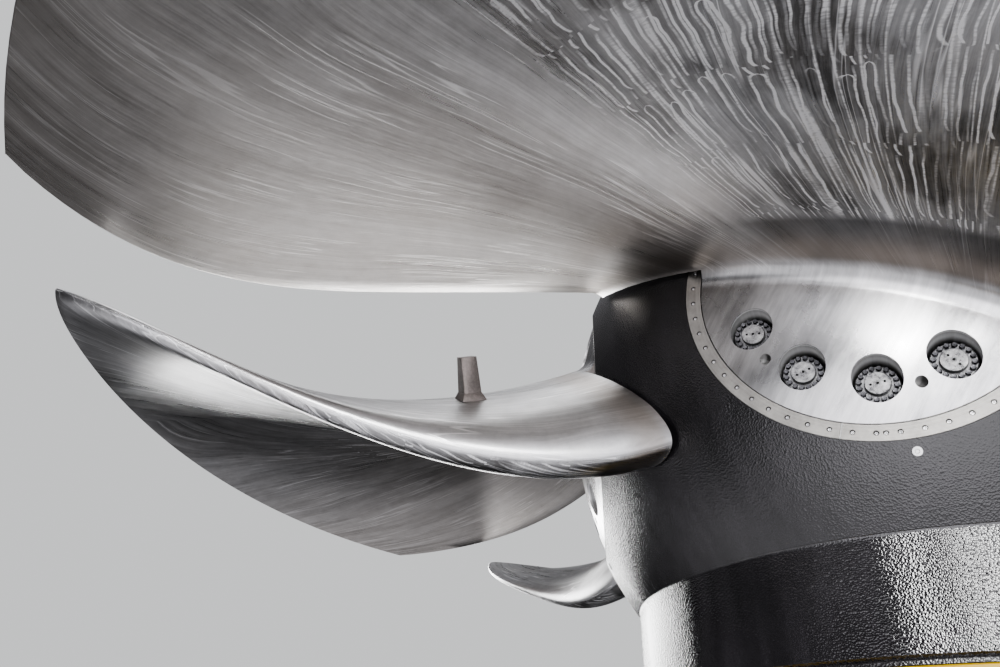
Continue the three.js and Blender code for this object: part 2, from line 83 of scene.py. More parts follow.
# Stand
STAND_TOP_RADIUS, STAND_TOP_THICKNESS = 1.74, 0.12
STAND_BASE_RADIUS, STAND_BASE_THICKNESS = 1.90, 0.08
STAND_LEGS = 6
BASE_BOLTS, BASE_BOLT_CIRCLE = 18, 1.78

# Blade root, along the blade's axis from the hub centre
FLANGE_FACE = 1.914
FLANGE_RADIUS = 0.785
FLANGE_BACK = 1.584
DOME_RADIUS = math.hypot(FLANGE_FACE, FLANGE_RADIUS)
RING_INNER = 0.7875
RING_OUTER = 0.865
RING_BACK = 1.854
RING_SPLIT = math.radians(-18.8)
JOINT_WIDTH = 0.008
SCREW_STEP_DEG = 6.521
ODD_SCREW_DEG = -6.4
SCREW_SEAT = FLANGE_FACE - 0.012
TRUNNION_DISC_RADIUS = 0.775
TRUNNION_DISC_BACK = 1.2837
TRUNNION_SHAFT_RADIUS = 0.34
TRUNNION_END = 0.64
POCKET_FLOOR = 1.794
POCKET_RADIUS = 0.105
STUD_RADIUS = 0.055
STUD_HOLE_RADIUS = 0.058
POCKETS = [(0.593, angle) for angle in (-69.2, -38, -7, 24)]
POCKETS += [(0.620, angle) for angle in (134.5, 161, 187.5)]
PLUG_HOLES = [(0.643, angle) for angle in (-53.4, 8.3)]
PLUG_HOLE_RADIUS, PLUG_HOLE_DEPTH = 0.026, 0.052

# Stud tensioners: heights along the blade's axis
TENSIONER_RADIUS = 0.098
TENSIONER_TOP = 1.905
BOLT_SEAT = TENSIONER_TOP + 0.0002
STUD_END_RADIUS = 0.0555
STUD_END_TOP = 1.927
# How the line of spanner holes in each stud end is turned
STUD_END_TURNS = (-8, 19, 5, -57, 30, -20, 75)

# Blade edges and sections, as in the part's source
EDGE_INNER = 2.143
TIP_RADIUS = 5.25
LEADING_AZIMUTHS = np.radians([39, 29.5, 22.6, 28.4, 21.4])
LEADING_HEIGHTS = np.array([-0.692, -0.963, -0.447, -0.298, 0.185])
TRAILING_AZIMUTHS = np.radians([-46.2, -54.9, -54.1, -54.2, -36.9])
TRAILING_HEIGHTS = np.array([0.630, 0.681, 0.668, 0.395, 0.059])
CAMBER = np.array([0.248, 0.579, 0.050])
CAMBER_SKEW = 0.24
UPPER_DEPTH, LOWER_DEPTH = np.array([0.288, -0.056, 0.049]), np.array([0.288, -0.022, 0.098])
UPPER_NOSE, LOWER_NOSE = np.array([0.100, 0.035, 0.028, 0.004]), np.array([0.136, 0.051, 0.070, 0.025])
TAIL_HALF_THICKNESS = np.array([0.023, 0.020, 0.010])
TAPER_POWER = 3.3
FILLET_RADIUS = 0.099
CLEARANCE_RADIUS = 2.13

# Faces around and along the finished shapes
ROUND_STEPS = 256
FLANGE_STEPS = 160
DOME_STEPS = 26
SIDE_STEPS, FILLET_STEPS, SPAN_STEPS = 64, 9, 46

# Grinder strokes: rows per metre of span, and lines per unit across the blade
STROKE_ROWS, STROKE_LINES = 2.63, 30.0


# Property groups


def length_of(name, default, description):
    return FloatProperty(name=name, description=description, default=default, unit="LENGTH")


def number_of(name, default, description):
    return IntProperty(name=name, description=description, default=default, min=4)


def colour_of(name, default, description):
    return FloatVectorProperty(name=name, description=description, default=default, subtype="COLOR")


class RunnerSizes(bpy.types.PropertyGroup):
    """Sizes and numbers of the small fittings"""

    screw_circle: length_of("Screw circle", 0.8265, "Radius of the seal ring's screw circle")
    screws_per_half: number_of("Screws per half ring", 27, "Screws in each half of a seal ring")
    screw_radius: length_of("Screw radius", 0.0095, "Radius of a seal ring screw")
    counterbore_radius: length_of("Counterbore radius", 0.0120, "Radius of the hole around each ring screw")
    jackbolt_count: number_of("Jackbolts", 16, "Jackbolts in each stud tensioner")
    jackbolt_circle: length_of("Jackbolt circle", 0.0770, "Radius of the circle of jackbolts")
    jackbolt_radius: length_of("Jackbolt radius", 0.0128, "Half the width across the corners of a jackbolt")
    flange_bolt_count: number_of("Flange bolts", 36, "Bolts on the nose flange's circle")


class RunnerColours(bpy.types.PropertyGroup):
    """Colours of the finishes"""

    blade_steel: colour_of("Blade steel", (0.50, 0.50, 0.505), "Ground steel of the blades")
    ring_steel: colour_of("Ring steel", (0.33, 0.32, 0.305), "Turned steel of the seal rings")
    tensioner_steel: colour_of("Tensioner steel", (0.24, 0.24, 0.245), "Oiled steel of the stud tensioners")
    hub_paint: colour_of("Hub paint", (0.014, 0.013, 0.015), "Black paint of the hub")
    stand_paint: colour_of("Stand paint", (0.80, 0.50, 0.015), "Yellow paint of the stand's top plate")
    stand_grey: colour_of("Stand grey", (0.09, 0.092, 0.10), "Grey paint of the stand's legs and base")


# Meshes


def new_object(name, data):
    """A shown object that holds this mesh, lamp or camera."""
    obj = bpy.data.objects.new(name, data)
    bpy.context.scene.collection.objects.link(obj)
    return obj


def shade(mesh, sharpest=32):
    """Shades a mesh smooth but for edges that turn by more than this many degrees."""
    mesh.shade_smooth()
    mesh.set_sharp_from_angle(angle=math.radians(sharpest))


def mesh_from(name, corners, faces, smooth=True):
    mesh = bpy.data.meshes.new(name)
    mesh.from_pydata([tuple(corner) for corner in corners], [], [tuple(face) for face in faces])
    mesh.validate()
    if smooth:
        shade(mesh)
    return mesh


def around(count, radius, first=0.0):
    """Pairs of coordinates evenly spaced on a circle."""
    turns = [2 * math.pi * (k + first) / count for k in range(count)]
    return [(radius * math.cos(turn), radius * math.sin(turn)) for turn in turns]


def turned(profile, segments, about_x=False):
    """Points and faces of a (radius, height) profile turned about Z, or about X. It runs up the outside."""
    closed = profile[0] == profile[-1]
    rings = profile[:-1] if closed else profile
    corners, starts = [], []
    for radius, height in rings:
        pole = radius < 1e-9
        starts.append((len(corners), pole))
        corners += [(x, y, height) for x, y in around(segments, radius)[: 1 if pole else segments]]
    faces = []
    for j in range(len(rings) if closed else len(rings) - 1):
        (low, low_pole), (high, high_pole) = starts[j], starts[(j + 1) % len(rings)]
        for k in range(segments):
            n = (k + 1) % segments
            if low_pole:
                faces.append((low, high + n, high + k))
            elif high_pole:
                faces.append((low + k, low + n, high))
            else:
                faces.append((low + k, low + n, high + n, high + k))
    if about_x:
        corners = [(z, x, y) for x, y, z in corners]
    return corners, faces


def turned_mesh(name, profile, segments, about_x=False):
    return mesh_from(name, *turned(profile, segments, about_x))


def ring_form(name, count, rings):
    """A closed form along X from rings of corners, given as (radius, level)."""
    corners = [(level, y, z) for radius, level in rings for y, z in around(count, radius)]
    faces = []
    for j in range(len(rings) - 1):
        for k in range(count):
            n = (k + 1) % count
            faces.append((j * count + k, j * count + n, (j + 1) * count + n, (j + 1) * count + k))
    faces.append(tuple(reversed(range(count))))
    faces.append(tuple(range(len(corners) - count, len(corners))))
    return mesh_from(name, corners, faces)


def hexagon_head(radius, height):
    """A bolt head along X with a chamfered top that is slightly dished."""
    top = [(radius * 0.84, height), (radius * 0.35, height * 0.98)]
    return ring_form("hexagon_head", 6, [(radius, 0), (radius, height * 0.8), *top])


def joined(parts):
    """One list of points and faces from several."""
    corners, faces = [], []
    for part_corners, part_faces in parts:
        start = len(corners)
        corners += [tuple(corner) for corner in part_corners]
        faces += [tuple(index + start for index in face) for face in part_faces]
    return corners, faces


def moved(part, matrix):
    corners, faces = part
    return [tuple(matrix @ Vector(corner)) for corner in corners], faces


def on_flange(radius, angle_deg):
    """The move from the blade's axis to a place on its flange, at an angle from straight down."""
    angle = math.radians(angle_deg)
    return Matrix.Translation((0, radius * math.sin(angle), -radius * math.cos(angle)))


def flange_part(profile, segments, spot):
    """A profile turned along the blade's axis at a (radius, angle) place on the flange."""
    return moved(turned(profile, segments, about_x=True), on_flange(*spot))


def rod(radius, low, high):
    return [(0, low), (radius, low), (radius, high), (0, high)]


def disc(radius, low, high, edge=0.006):
    """The profile of a disc with chamfered edges."""
    profile = [(0, low), (radius - edge, low), (radius, low + edge)]
    return profile + [(radius, high - edge), (radius - edge, high), (0, high)]


def applied(obj):
    """Takes what the object's modifiers give as its own mesh."""
    bpy.context.view_layer.update()
    mesh = bpy.data.meshes.new_from_object(obj.evaluated_get(bpy.context.evaluated_depsgraph_get()))
    obj.modifiers.clear()
    obj.data = mesh
    if not mesh.polygons:
        raise RuntimeError(f"{obj.name} came out empty")


def cut(obj, cutter, operation="DIFFERENCE"):
    """Cuts a solid mesh, or joins another to it, and shades the result by its angles."""
    tool = new_object("cutting_tool", mesh_from("cutting_tool", *cutter, smooth=False))
    change = obj.modifiers.new("cut", "BOOLEAN")
    change.object = tool
    change.operation = operation
    change.solver = "MANIFOLD"
    applied(obj)
    bpy.data.objects.remove(tool)
    shade(obj.data)


def bevelled_node(name, node, flat=0.0):
    """A piece from a CAD node's mesh, its loose triangles merged and its edges rounded."""
    form = bmesh.new()
    form.from_mesh(frame["nodes"][node].data)
    bmesh.ops.remove_doubles(form, verts=form.verts, dist=1e-5)
    if flat:
        bmesh.ops.dissolve_limit(form, angle_limit=flat, verts=form.verts, edges=form.edges)
    mesh = bpy.data.meshes.new(name)
    form.to_mesh(mesh)
    form.free()
    piece = new_object(name, mesh)
    change = piece.modifiers.new("edges", "BEVEL")
    change.width, change.segments = 0.004, 2
    change.limit_method, change.angle_limit = "ANGLE", math.radians(35)
    applied(piece)
    shade(piece.data, 40)
    return piece


def settle(obj, matrix, body, finish, slot, *nodes):
    """Puts a finished piece in its place, hangs it on the body it rides on, gives it its finish and hides the
    CAD parts it stands for.
    """
    obj.data.transform(matrix)
    obj.data.materials.clear()
    obj.data.materials.append(finish)
    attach(obj, body)
    if nodes:
        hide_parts(*nodes)


def add_turned(name, profile, segments, place, finish, slot, node):
    """A turned piece of the hub's body."""
    settle(new_object(name, turned_mesh(name, profile, segments)), place, "hub", finish, slot, node)


def blade_turn(index):
    """The turn about the runner's axis from blade 1 to another blade."""
    return Matrix.Rotation(-BLADE_STEP * index, 4, "Z")


def blade_body(index):
    return f"blade_assembly_{index + 1}"


def at_each_blade(name, mesh, finish, slot, node=None, with_blade=False):
    """The same piece at each blade, fixed or turning with it. # in node stands for the blade's number."""
    for index in range(BLADE_COUNT):
        piece = new_object(f"{name}_{index + 1}", mesh.copy())
        nodes = [node.replace("#", str(index + 1))] if node else []
        body = blade_body(index) if with_blade else "hub"
        settle(piece, RUNNER_PLACE @ blade_turn(index), body, finish, slot, *nodes)


def placed_by_nodes(name, form, points, finish, spread=2 * math.pi):
    """A plain mesh of one form at each point, made by a Geometry Nodes tree that ends in Set Material."""
    cloud = new_object(name + "_points", mesh_from(name + "_points", points, [], smooth=False))
    stamp = new_object(name + "_form", form)
    tree = bpy.data.node_groups.new(name, "GeometryNodeTree")
    tree.interface.new_socket("Points", in_out="INPUT", socket_type="NodeSocketGeometry")
    inputs = [("Form", "Object", stamp), ("Size", "Float", 1.0), ("Seed", "Int", 7)]
    inputs.append(("Turn spread", "Float", spread))
    values = {}
    for label, kind, value in inputs:
        socket = tree.interface.new_socket(label, in_out="INPUT", socket_type="NodeSocket" + kind)
        values[socket.identifier] = value
    tree.interface.new_socket("Geometry", in_out="OUTPUT", socket_type="NodeSocketGeometry")
    start, end = tree.nodes.new("NodeGroupInput"), tree.nodes.new("NodeGroupOutput")
    info = tree.nodes.new("GeometryNodeObjectInfo")
    spin = tree.nodes.new("FunctionNodeRandomValue")
    spin.data_type = "FLOAT"
    turn = tree.nodes.new("ShaderNodeCombineXYZ")
    instances = tree.nodes.new("GeometryNodeInstanceOnPoints")
    real = tree.nodes.new("GeometryNodeRealizeInstances")
    coat = tree.nodes.new("GeometryNodeSetMaterial")
    coat.inputs["Material"].default_value = finish
    wires = (
        (start, "Form", info, "Object"),
        (start, "Points", instances, "Points"),
        (info, "Geometry", instances, "Instance"),
        (start, "Size", instances, "Scale"),
        (start, "Seed", spin, "Seed"),
        (start, "Turn spread", spin, 3),
        (spin, 1, turn, "X"),
        (turn, 0, instances, "Rotation"),
        (instances, 0, real, 0),
        (real, 0, coat, "Geometry"),
        (coat, 0, end, 0),
    )
    for source, output, target, entry in wires:
        tree.links.new(source.outputs[output], target.inputs[entry])
    change = cloud.modifiers.new("place", "NODES")
    change.node_group = tree
    for identifier, value in values.items():
        change[identifier] = value
    applied(cloud)
    mesh = cloud.data
    for used in (cloud, stamp):
        bpy.data.objects.remove(used)
    return mesh


def store_vector(mesh, name, values):
    layer = mesh.attributes.new(name, "FLOAT_VECTOR", "POINT")
    layer.data.foreach_set("vector", np.asarray(values, np.float32).ravel())


def points_of(mesh):
    points = np.empty(len(mesh.vertices) * 3, np.float32)
    mesh.vertices.foreach_get("co", points)
    return points.reshape(-1, 3).astype(float)


def store_seat(mesh):
    """Stores each point's place from the hub centre, with X along the blade's axis."""
    store_vector(mesh, "seat", points_of(mesh))


# Finishes


class Value:
    """A shader socket that takes part in Python arithmetic through Math nodes."""

    def __init__(self, finish, socket):
        self.finish, self.socket = finish, socket

    def maths(self, operation, *values):
        return self.finish.node("ShaderNodeMath", {"operation": operation}, dict(enumerate(values)))

    def __add__(self, other):
        return self.maths("ADD", self, other)

    def __radd__(self, other):
        return self.maths("ADD", other, self)

    def __sub__(self, other):
        return self.maths("SUBTRACT", self, other)

    def __rsub__(self, other):
        return self.maths("SUBTRACT", other, self)

    def __mul__(self, other):
        return self.maths("MULTIPLY", self, other)

    def __rmul__(self, other):
        return self.maths("MULTIPLY", other, self)

    def __truediv__(self, other):
        return self.maths("DIVIDE", self, other)

    def __pow__(self, other):
        return self.maths("POWER", self, other)

    def most(self, other):
        return self.maths("MAXIMUM", self, other)

    def size(self):
        return self.maths("ABSOLUTE", self)

    def fraction(self):
        return self.maths("FRACT", self)

    def whole(self):
        return self.maths("FLOOR", self)


class Finish:
    """One procedural material, or the studio's surroundings, and the ways to add to its nodes."""

    def __init__(self, name, kind=None):
        self.material = (bpy.data.materials if kind is None else kind).new(name)
        self.material.use_nodes = True
        self.tree = self.material.node_tree
        self.tree.nodes.clear()

    def node(self, kind, settings=None, sockets=None, output=0):
        node = self.tree.nodes.new(kind)
        for key, value in (settings or {}).items():
            setattr(node, key, value)
        for key, value in (sockets or {}).items():
            if isinstance(value, Value):
                self.tree.links.new(value.socket, node.inputs[key])
            else:
                node.inputs[key].default_value = value
        return Value(self, node.outputs[output])

    def place(self):
        return self.node("ShaderNodeTexCoord", output="Object")

    def stored(self, name):
        return self.node("ShaderNodeAttribute", {"attribute_name": name}, output="Vector")

    def parts(self, vector):
        split = self.tree.nodes.new("ShaderNodeSeparateXYZ")
        self.tree.links.new(vector.socket, split.inputs[0])
        return [Value(self, output) for output in split.outputs]

    def vector(self, x, y, z):
        return self.node("ShaderNodeCombineXYZ", None, {0: x, 1: y, 2: z})

    def scaled(self, vector, factors):
        return self.node("ShaderNodeVectorMath", {"operation": "MULTIPLY"}, {0: vector, 1: factors})

    def length(self, vector):
        return self.node("ShaderNodeVectorMath", {"operation": "LENGTH"}, {0: vector}, output="Value")

    def noise(self, vector, scale, detail=2.0, roughness=0.5):
        sockets = {"Vector": vector, "Scale": scale, "Detail": detail, "Roughness": roughness}
        return self.node("ShaderNodeTexNoise", None, sockets)

    def field(self, x, y, z, detail=2.0, roughness=0.5):
        """Noise over three coordinates that are already scaled."""
        return self.noise(self.vector(x, y, z), 1.0, detail, roughness)

    def chance(self, first, second, seed):
        """A random value for each pair of whole numbers."""
        place = {"Vector": self.vector(first, second, seed)}
        return self.node("ShaderNodeTexWhiteNoise", {"noise_dimensions": "3D"}, place)

    def ridge(self, noise, width):
        """1 along the lines where a noise passes its middle value, falling to 0 at this width from it."""
        return (1.0 - (noise - 0.5).size() / width).most(0.0)

    def between(self, value, low, high, to_low=0.0, to_high=1.0, smooth=False):
        settings = {"clamp": True, "interpolation_type": "SMOOTHSTEP" if smooth else "LINEAR"}
        sockets = {"Value": value, "From Min": low, "From Max": high, "To Min": to_low, "To Max": to_high}
        return self.node("ShaderNodeMapRange", settings, sockets)

    def held(self, value, low, high):
        return self.between(value, low, high, low, high)

    def colour(self, factor, first, second):
        settings = {"data_type": "RGBA", "blend_type": "MIX", "clamp_factor": True}
        return self.node("ShaderNodeMix", settings, {0: factor, 6: first, 7: second}, output=2)

    def bump(self, height, strength, distance, normal=None):
        sockets = {"Height": height, "Strength": strength, "Distance": distance}
        if normal is not None:
            sockets["Normal"] = normal
        return self.node("ShaderNodeBump", None, sockets)

    def surface(self, colour, metallic, roughness, **others):
        sockets = {"Base Color": colour, "Metallic": metallic, "Roughness": roughness, **others}
        return self.shown(self.node("ShaderNodeBsdfPrincipled", None, sockets), "ShaderNodeOutputMaterial")

    def shown(self, shader, kind):
        out = self.tree.nodes.new(kind)
        self.tree.links.new(shader.socket, out.inputs["Surface"])
        return self.material


def rgba(colour, factor=1.0):
    return tuple(min(channel * factor, 1.0) for channel in colour) + (1.0,)


def grinder_strokes(f, across, along):
    """Bright wavy lines in ragged rows, a few closed to hairpins, and the dark patches among them."""
    wave = f.field(across * 3.0, along * 5.0, 8.0) - 0.5
    sway = f.field(across, along * 1.3, 9.0, 0.0) - 0.5
    crowd = f.field(across * 6.0, along * 0.6, 12.0, 1.0) - 0.5
    wavy = across + wave * 0.040 + sway * 0.07 + crowd * 0.09
    reach = along * STROKE_ROWS + 0.42 + (f.field(across * 2.2, 0.0, 4.0) - 0.5) * 0.9
    row_number, row_part = reach.whole(), reach.fraction()
    # single lines, each with its own start and strength
    lines = wavy * STROKE_LINES + row_number * 0.37
    row = (reach + f.chance(lines.whole(), row_number, 1.0) * 0.30 - 0.15).fraction()
    lines = lines + f.between(row, 0.0, 0.12, 1.0, 0.0) ** 2.0 * 0.35
    single = f.between((lines.fraction() - 0.5).size(), 0.04, 0.17, 1.0, 0.0, smooth=True)
    single = single * f.between(row, 0.0, 0.02) * f.between(row, 0.80, 1.0, 1.0, 0.2)
    single = single * f.between(f.chance(lines.whole(), row_number, 4.0), 0.15, 0.75, 0.15, 1.0)
    # hairpins: pairs of lines that an arch closes at the end of their row
    pairs = wavy * (STROKE_LINES / 2) + row_number * 0.37
    top = 0.97 - f.chance(pairs.whole(), row_number, 2.0) * 0.25
    arch = f.between(row_part, top - 0.06, top)
    half = (1.0 - arch * arch).most(0.0) ** 0.5 * 0.23
    closed = f.between(((pairs.fraction() - 0.5).size() - half).size(), 0.02, 0.08, 1.0, 0.0, smooth=True)
    closed = closed * f.between(row_part, 0.05, 0.5) * f.between(row_part, top, top + 0.01, 1.0, 0.0)
    closed = closed * f.between(f.field(across * 2.6, along * 1.6, 14.0, 1.0), 0.54, 0.58)
    # a few longer lines that run on through the rows
    longer = f.ridge(f.field((across + sway * 0.07) * 20.0, along * 0.40, 15.0, 0.0), 0.045)
    longer = longer * f.between(f.field(across * 4.0, along * 0.7, 21.0, 1.0), 0.44, 0.54)
    beads = f.field(across * 40.0, along * 120.0, 2.0, 1.0)
    strokes = single.most(closed * 0.9).most(longer * 0.8) * f.between(beads, 0.35, 0.60, 0.55, 1.0)
    strokes = strokes * f.between(f.field(across * 9.0, along * 3.5, 17.0), 0.30, 0.60, 0.35, 1.1)
    groups = f.between(f.field(across * 3.2, along * 2.2, 31.0, 1.0), 0.30, 0.44, 0.3, 1.0)
    patches = f.between(f.field(across * 4.0, along * 2.6, 11.0, 3.0), 0.48, 0.62, smooth=True)
    return strokes * groups, patches


def flange_shade(f, seat, beyond, mottle):
    """Soft clouds and wiped smears on the root flange, and painted shade and highlights on the walls of its
    holes.
    """
    _, seat_y, seat_z = f.parts(seat)
    cloud = f.noise(seat, 2.6, 4.0, 0.6) - 0.5
    smear = f.field(seat_y * 1.6 + seat_z * 2.0, seat_y * 14.0 - seat_z * 11.0, 0.4, 5.0, 0.68) - 0.5
    face = cloud + smear * 1.10 + mottle * 0.16 + 0.16
    # pocket walls, painted light and shade: bright at the top edge, then painted shade, a painted highlight
    # band halfway down, and painted shade deep down towards the tensioner
    wall = f.between(beyond, -0.004, -0.007)
    depth = f.between(beyond, -0.006, -0.11)
    inner = 0.60 - f.between(depth, 0.03, 0.12, 0.0, 0.55) + f.between(depth, 0.16, 0.40, 0.0, 0.30)
    inner = inner - f.between(depth, 0.45, 1.0, 0.0, 0.75, smooth=True) + smear * 0.8 + mottle * 0.3
    light = face * (1.0 - wall) + inner * wall
    # plug holes: painted shade inside, with a painted highlight on the upper left
    for radius, angle in PLUG_HOLES:
        _, y, z = on_flange(radius, angle).translation
        inside = f.between(f.length(f.vector(0.0, seat_y - y, seat_z - z)), 0.027, 0.029, 1.0, 0.0) * wall
        painted_hole_light = f.between((seat_z - z) - (seat_y - y), 0.010, 0.036, -0.55, 0.45, smooth=True)
        light = light * (1.0 - inside) + painted_hole_light * inside
    return light, cloud, wall


def blade_steel(base):
    """Ground steel: marks along the span, grinder strokes under the root, and the turned root flange."""
    f = Finish("ground_steel")
    across, along, side = f.parts(f.stored("grain"))
    seat = f.stored("seat")
    beyond = f.length(seat) - DOME_RADIUS
    under = f.between(side, -0.3, -0.1, 1.0, 0.0)
    off_flange = f.between(beyond, 0.012, 0.12, smooth=True)
    # painted reflection: a smooth dark band under the blade between the root flange and the grinder strokes,
    # where the black hub is reflected
    painted_hub_reflection = off_flange * f.between(beyond, 0.36, 0.43, 1.0, 0.0, smooth=True) * under
    painted_hub_reflection = painted_hub_reflection * f.between(across, 1.85, 2.2, 1.0, 0.0, smooth=True)
    near_root = f.between(beyond, 0.38, 0.42) * f.between(along, 3.7, 4.6, 1.0, 0.0, smooth=True) * under
    near_root = near_root * f.between(across, 1.86, 2.00, 1.0, 0.0, smooth=True)
    bent = across + (f.field(across * 0.7, along * 0.9, side) - 0.5) * 0.10
    # broad bands to fine brushing along the span: scale across, scale along, detail, roughness
    marks = (
        (1.3, 0.45, 3.0, 0.55),
        (8.0, 0.55, 4.0, 0.62),
        (38.0, 1.0, 4.0, 0.68),
        (150.0, 3.0, 3.0, 0.62),
    )
    broad, bands, streaks, brushing = (
        f.field(bent * fine, along * long, side, detail, rough) - 0.5 for fine, long, detail, rough in marks
    )
    mottle = f.noise(seat, 9.0, 5.0, 0.70) - 0.5
    # single long scratches: thin lines of equal height in a stretched noise, broken up by a slow mask
    scratch = f.ridge(f.field(bent * 30.0, along * 0.7, side + 3.7, 1.0), 0.026)
    scratch = scratch * f.between(f.field(bent * 9.0, along * 1.5, side + 6.1), 0.50, 0.58)
    strokes, patches = grinder_strokes(f, across, along)
    strokes = strokes * near_root
    tone = broad * (under * 0.35 + 0.50) + bands * (under * 0.15 + 0.45) + streaks * 0.60 + brushing * 0.45
    # the painted reflection of the hub darkens that band
    tone = (tone + mottle * 0.45 + scratch * 0.75) * (1.0 - painted_hub_reflection * 0.7)
    tone = tone - painted_hub_reflection * 0.48 - near_root * 0.16
    flange_tone, cloud, wall = flange_shade(f, seat, beyond, mottle)
    light = tone * off_flange + flange_tone * (1.0 - off_flange)
    light = light + strokes * 1.70 - patches * near_root * 0.22
    colour = f.colour(f.between(light, -0.55, 0.55), rgba(base, 0.20), (0.97, 0.97, 0.98, 1))
    # warm stains in clouds and towards the trailing edge, and a dark warm painted shade around the root's foot
    foot = f.between(beyond, 0.05, 0.13, smooth=True) * f.between(beyond, 0.16, 0.34, 1.0, 0.0, smooth=True)
    stains_and_shade = (
        (f.between(cloud, -0.12, 0.25, 0.0, 0.12), (0.50, 0.44, 0.38, 1)),
        (f.between(across, 1.6, 2.6, 0.0, 0.40) * off_flange, (0.57, 0.51, 0.45, 1)),
        (foot * 0.45, (0.34, 0.28, 0.23, 1)),
    )
    for share, warm_tint in stains_and_shade:
        colour = f.colour(share, colour, warm_tint)
    rough = 0.33 + (bands + broad) * 0.22 + brushing * 0.25 + strokes * 0.22
    rough = rough * off_flange + (0.28 + cloud * 0.35 + wall * 0.22) * (1.0 - off_flange)
    # strokes stay out of the relief, which is worked out three times for each point
    normal = f.bump((streaks * 0.5 + brushing * 0.40 + scratch * 0.3) * off_flange, 0.6, 0.0022)
    normal = f.bump(bands * off_flange, 0.35, 0.010, normal)
    return f.surface(colour, 1.0 - wall * 0.65, f.held(rough, 0.14, 0.65), Normal=normal)


def paint(name, colour, rough, grain, ior):
    """Black paint whose small domes break reflections up into glints, with dusty clouds and runs."""
    f = Finish(name)
    spot = f.place()
    cells = {"Vector": spot, "Scale": 110.0}
    dome = f.node("ShaderNodeTexVoronoi", {"feature": "F1"}, cells, output="Distance")
    fine = f.noise(spot, 300.0, 1.0, 0.6)
    wide = f.noise(spot, 16.0)
    cloud = f.noise(spot, 1.5, 5.0, 0.6) - 0.5
    runs = f.noise(f.scaled(spot, (9.0, 9.0, 1.1)), 1.0, 4.0, 0.6) - 0.5
    dust = f.between(fine + cloud * 0.30 + runs * 0.30, 0.50, 0.78)
    tint = f.colour(f.between(cloud + runs * 0.6, -0.25, 0.25), rgba(colour, 0.6), rgba(colour, 1.7))
    tint = f.colour(dust * 0.22, tint, (0.16, 0.148, 0.17, 1))
    roughness = f.held(rough + cloud * 0.16 + (fine - 0.5) * 0.2, 0.07, 0.8)
    normal = f.bump(wide, 0.10, 0.004, f.bump(dome * dome, grain, 0.012))
    return f.surface(tint, 0.0, roughness, Normal=normal, IOR=ior)


def turned_steel(name, colour, rough):
    """Steel with fine turning marks around the blade's axis."""
    f = Finish(name)
    spot = f.stored("seat")
    x, y, z = f.parts(spot)
    marks = f.noise(f.vector(f.length(f.vector(0.0, y, z)), 0.0, 0.0), 190.0, 3.0, 0.6)
    cloud = f.noise(spot, 6.0, 4.0, 0.6)
    wipe = f.noise(spot, 40.0, 3.0, 0.6)
    light = (marks - 0.5) * 0.8 + (cloud - 0.5) * 0.9 + (wipe - 0.5) * 0.35
    tint = f.colour(f.between(light, -0.35, 0.35), rgba(colour, 0.62), rgba(colour, 1.45))
    # painted shade: below the ring's face, in the counterbores and down the ring's sides, the steel goes
    # nearly black
    painted_shade_below_face = f.between(x, FLANGE_FACE - 0.006, FLANGE_FACE - 0.002, 0.85, 0.0)
    tint = f.colour(painted_shade_below_face, tint, (0.03, 0.03, 0.03, 1))
    roughness = f.held(rough + (cloud - 0.5) * 0.25 + (marks - 0.5) * 0.12, 0.12, 0.8)
    return f.surface(tint, 1.0, roughness, Normal=f.bump(marks, 0.3, 0.0008))


def plain_steel(name, colour, rough, scale=60.0, metallic=1.0, bump=0.3, distance=0.001):
    """Machined or rolled steel with mottled tone and small marks."""
    f = Finish(name)
    spot = f.place()
    cloud = f.noise(spot, scale * 0.25, 4.0, 0.6)
    fine = f.noise(spot, scale * 3.0, 3.0, 0.6)
    tint = f.colour(f.between(cloud + (fine - 0.5) * 0.5, 0.25, 0.75), rgba(colour, 0.6), rgba(colour, 1.5))
    roughness = f.held(rough + (cloud - 0.5) * 0.3 + (fine - 0.5) * 0.1, 0.1, 0.9)
    return f.surface(tint, metallic, roughness, Normal=f.bump(fine, bump, distance))


def stud_end_steel():
    """Bright turned steel with wiped oil, and painted shade below its end face: in its centre hole, its
    spanner holes and down its side.
    """
    f = Finish("stud_end_steel")
    spot = f.stored("seat")
    cloud = f.noise(spot, 26.0, 4.0, 0.6)
    fine = f.noise(spot, 190.0, 3.0, 0.6)
    oil = f.between(cloud + (fine - 0.5) * 0.4, 0.3, 0.7)
    tint = f.colour(oil, (0.20, 0.20, 0.205, 1), (0.66, 0.66, 0.66, 1))
    level, _, _ = f.parts(spot)
    # painted shade below the end face, in the holes and down the side
    painted_hole_shade = f.between(level, STUD_END_TOP - 0.0035, STUD_END_TOP - 0.0010, 1.0, 0.0)
    tint = f.colour(painted_hole_shade, tint, (0.03, 0.03, 0.03, 1))
    roughness = f.held(0.30 + (cloud - 0.5) * 0.3, 0.12, 0.7)
    return f.surface(tint, 1.0, roughness, Normal=f.bump(fine, 0.3, 0.0006))


def stand_paint(name, colour):
    """Machinery paint with orange peel, dull patches and scuffs."""
    f = Finish(name)
    spot = f.place()
    peel = f.noise(spot, 70.0)
    cloud = f.noise(spot, 1.8, 5.0, 0.6)
    scuff = f.between(f.noise(f.scaled(spot, (5.0, 5.0, 14.0)), 2.0, 5.0, 0.7), 0.63, 0.72)
    tint = f.colour(f.between(cloud, 0.3, 0.7), rgba(colour, 0.82), rgba(colour, 1.1))
    tint = f.colour(scuff * 0.35, tint, (0.16, 0.12, 0.06, 1))
    roughness = f.held(0.38 + (cloud - 0.5) * 0.2 + scuff * 0.2, 0.2, 0.8)
    return f.surface(tint, 0.0, roughness, Normal=f.bump(peel, 0.25, 0.003))


# Blade shape


def bezier(values, t):
    degree = len(values) - 1
    return sum(math.comb(degree, i) * values[i] * t**i * (1 - t) ** (degree - i) for i in range(degree + 1))


def unit(vectors):
    return vectors / np.linalg.norm(vectors, axis=-1, keepdims=True)


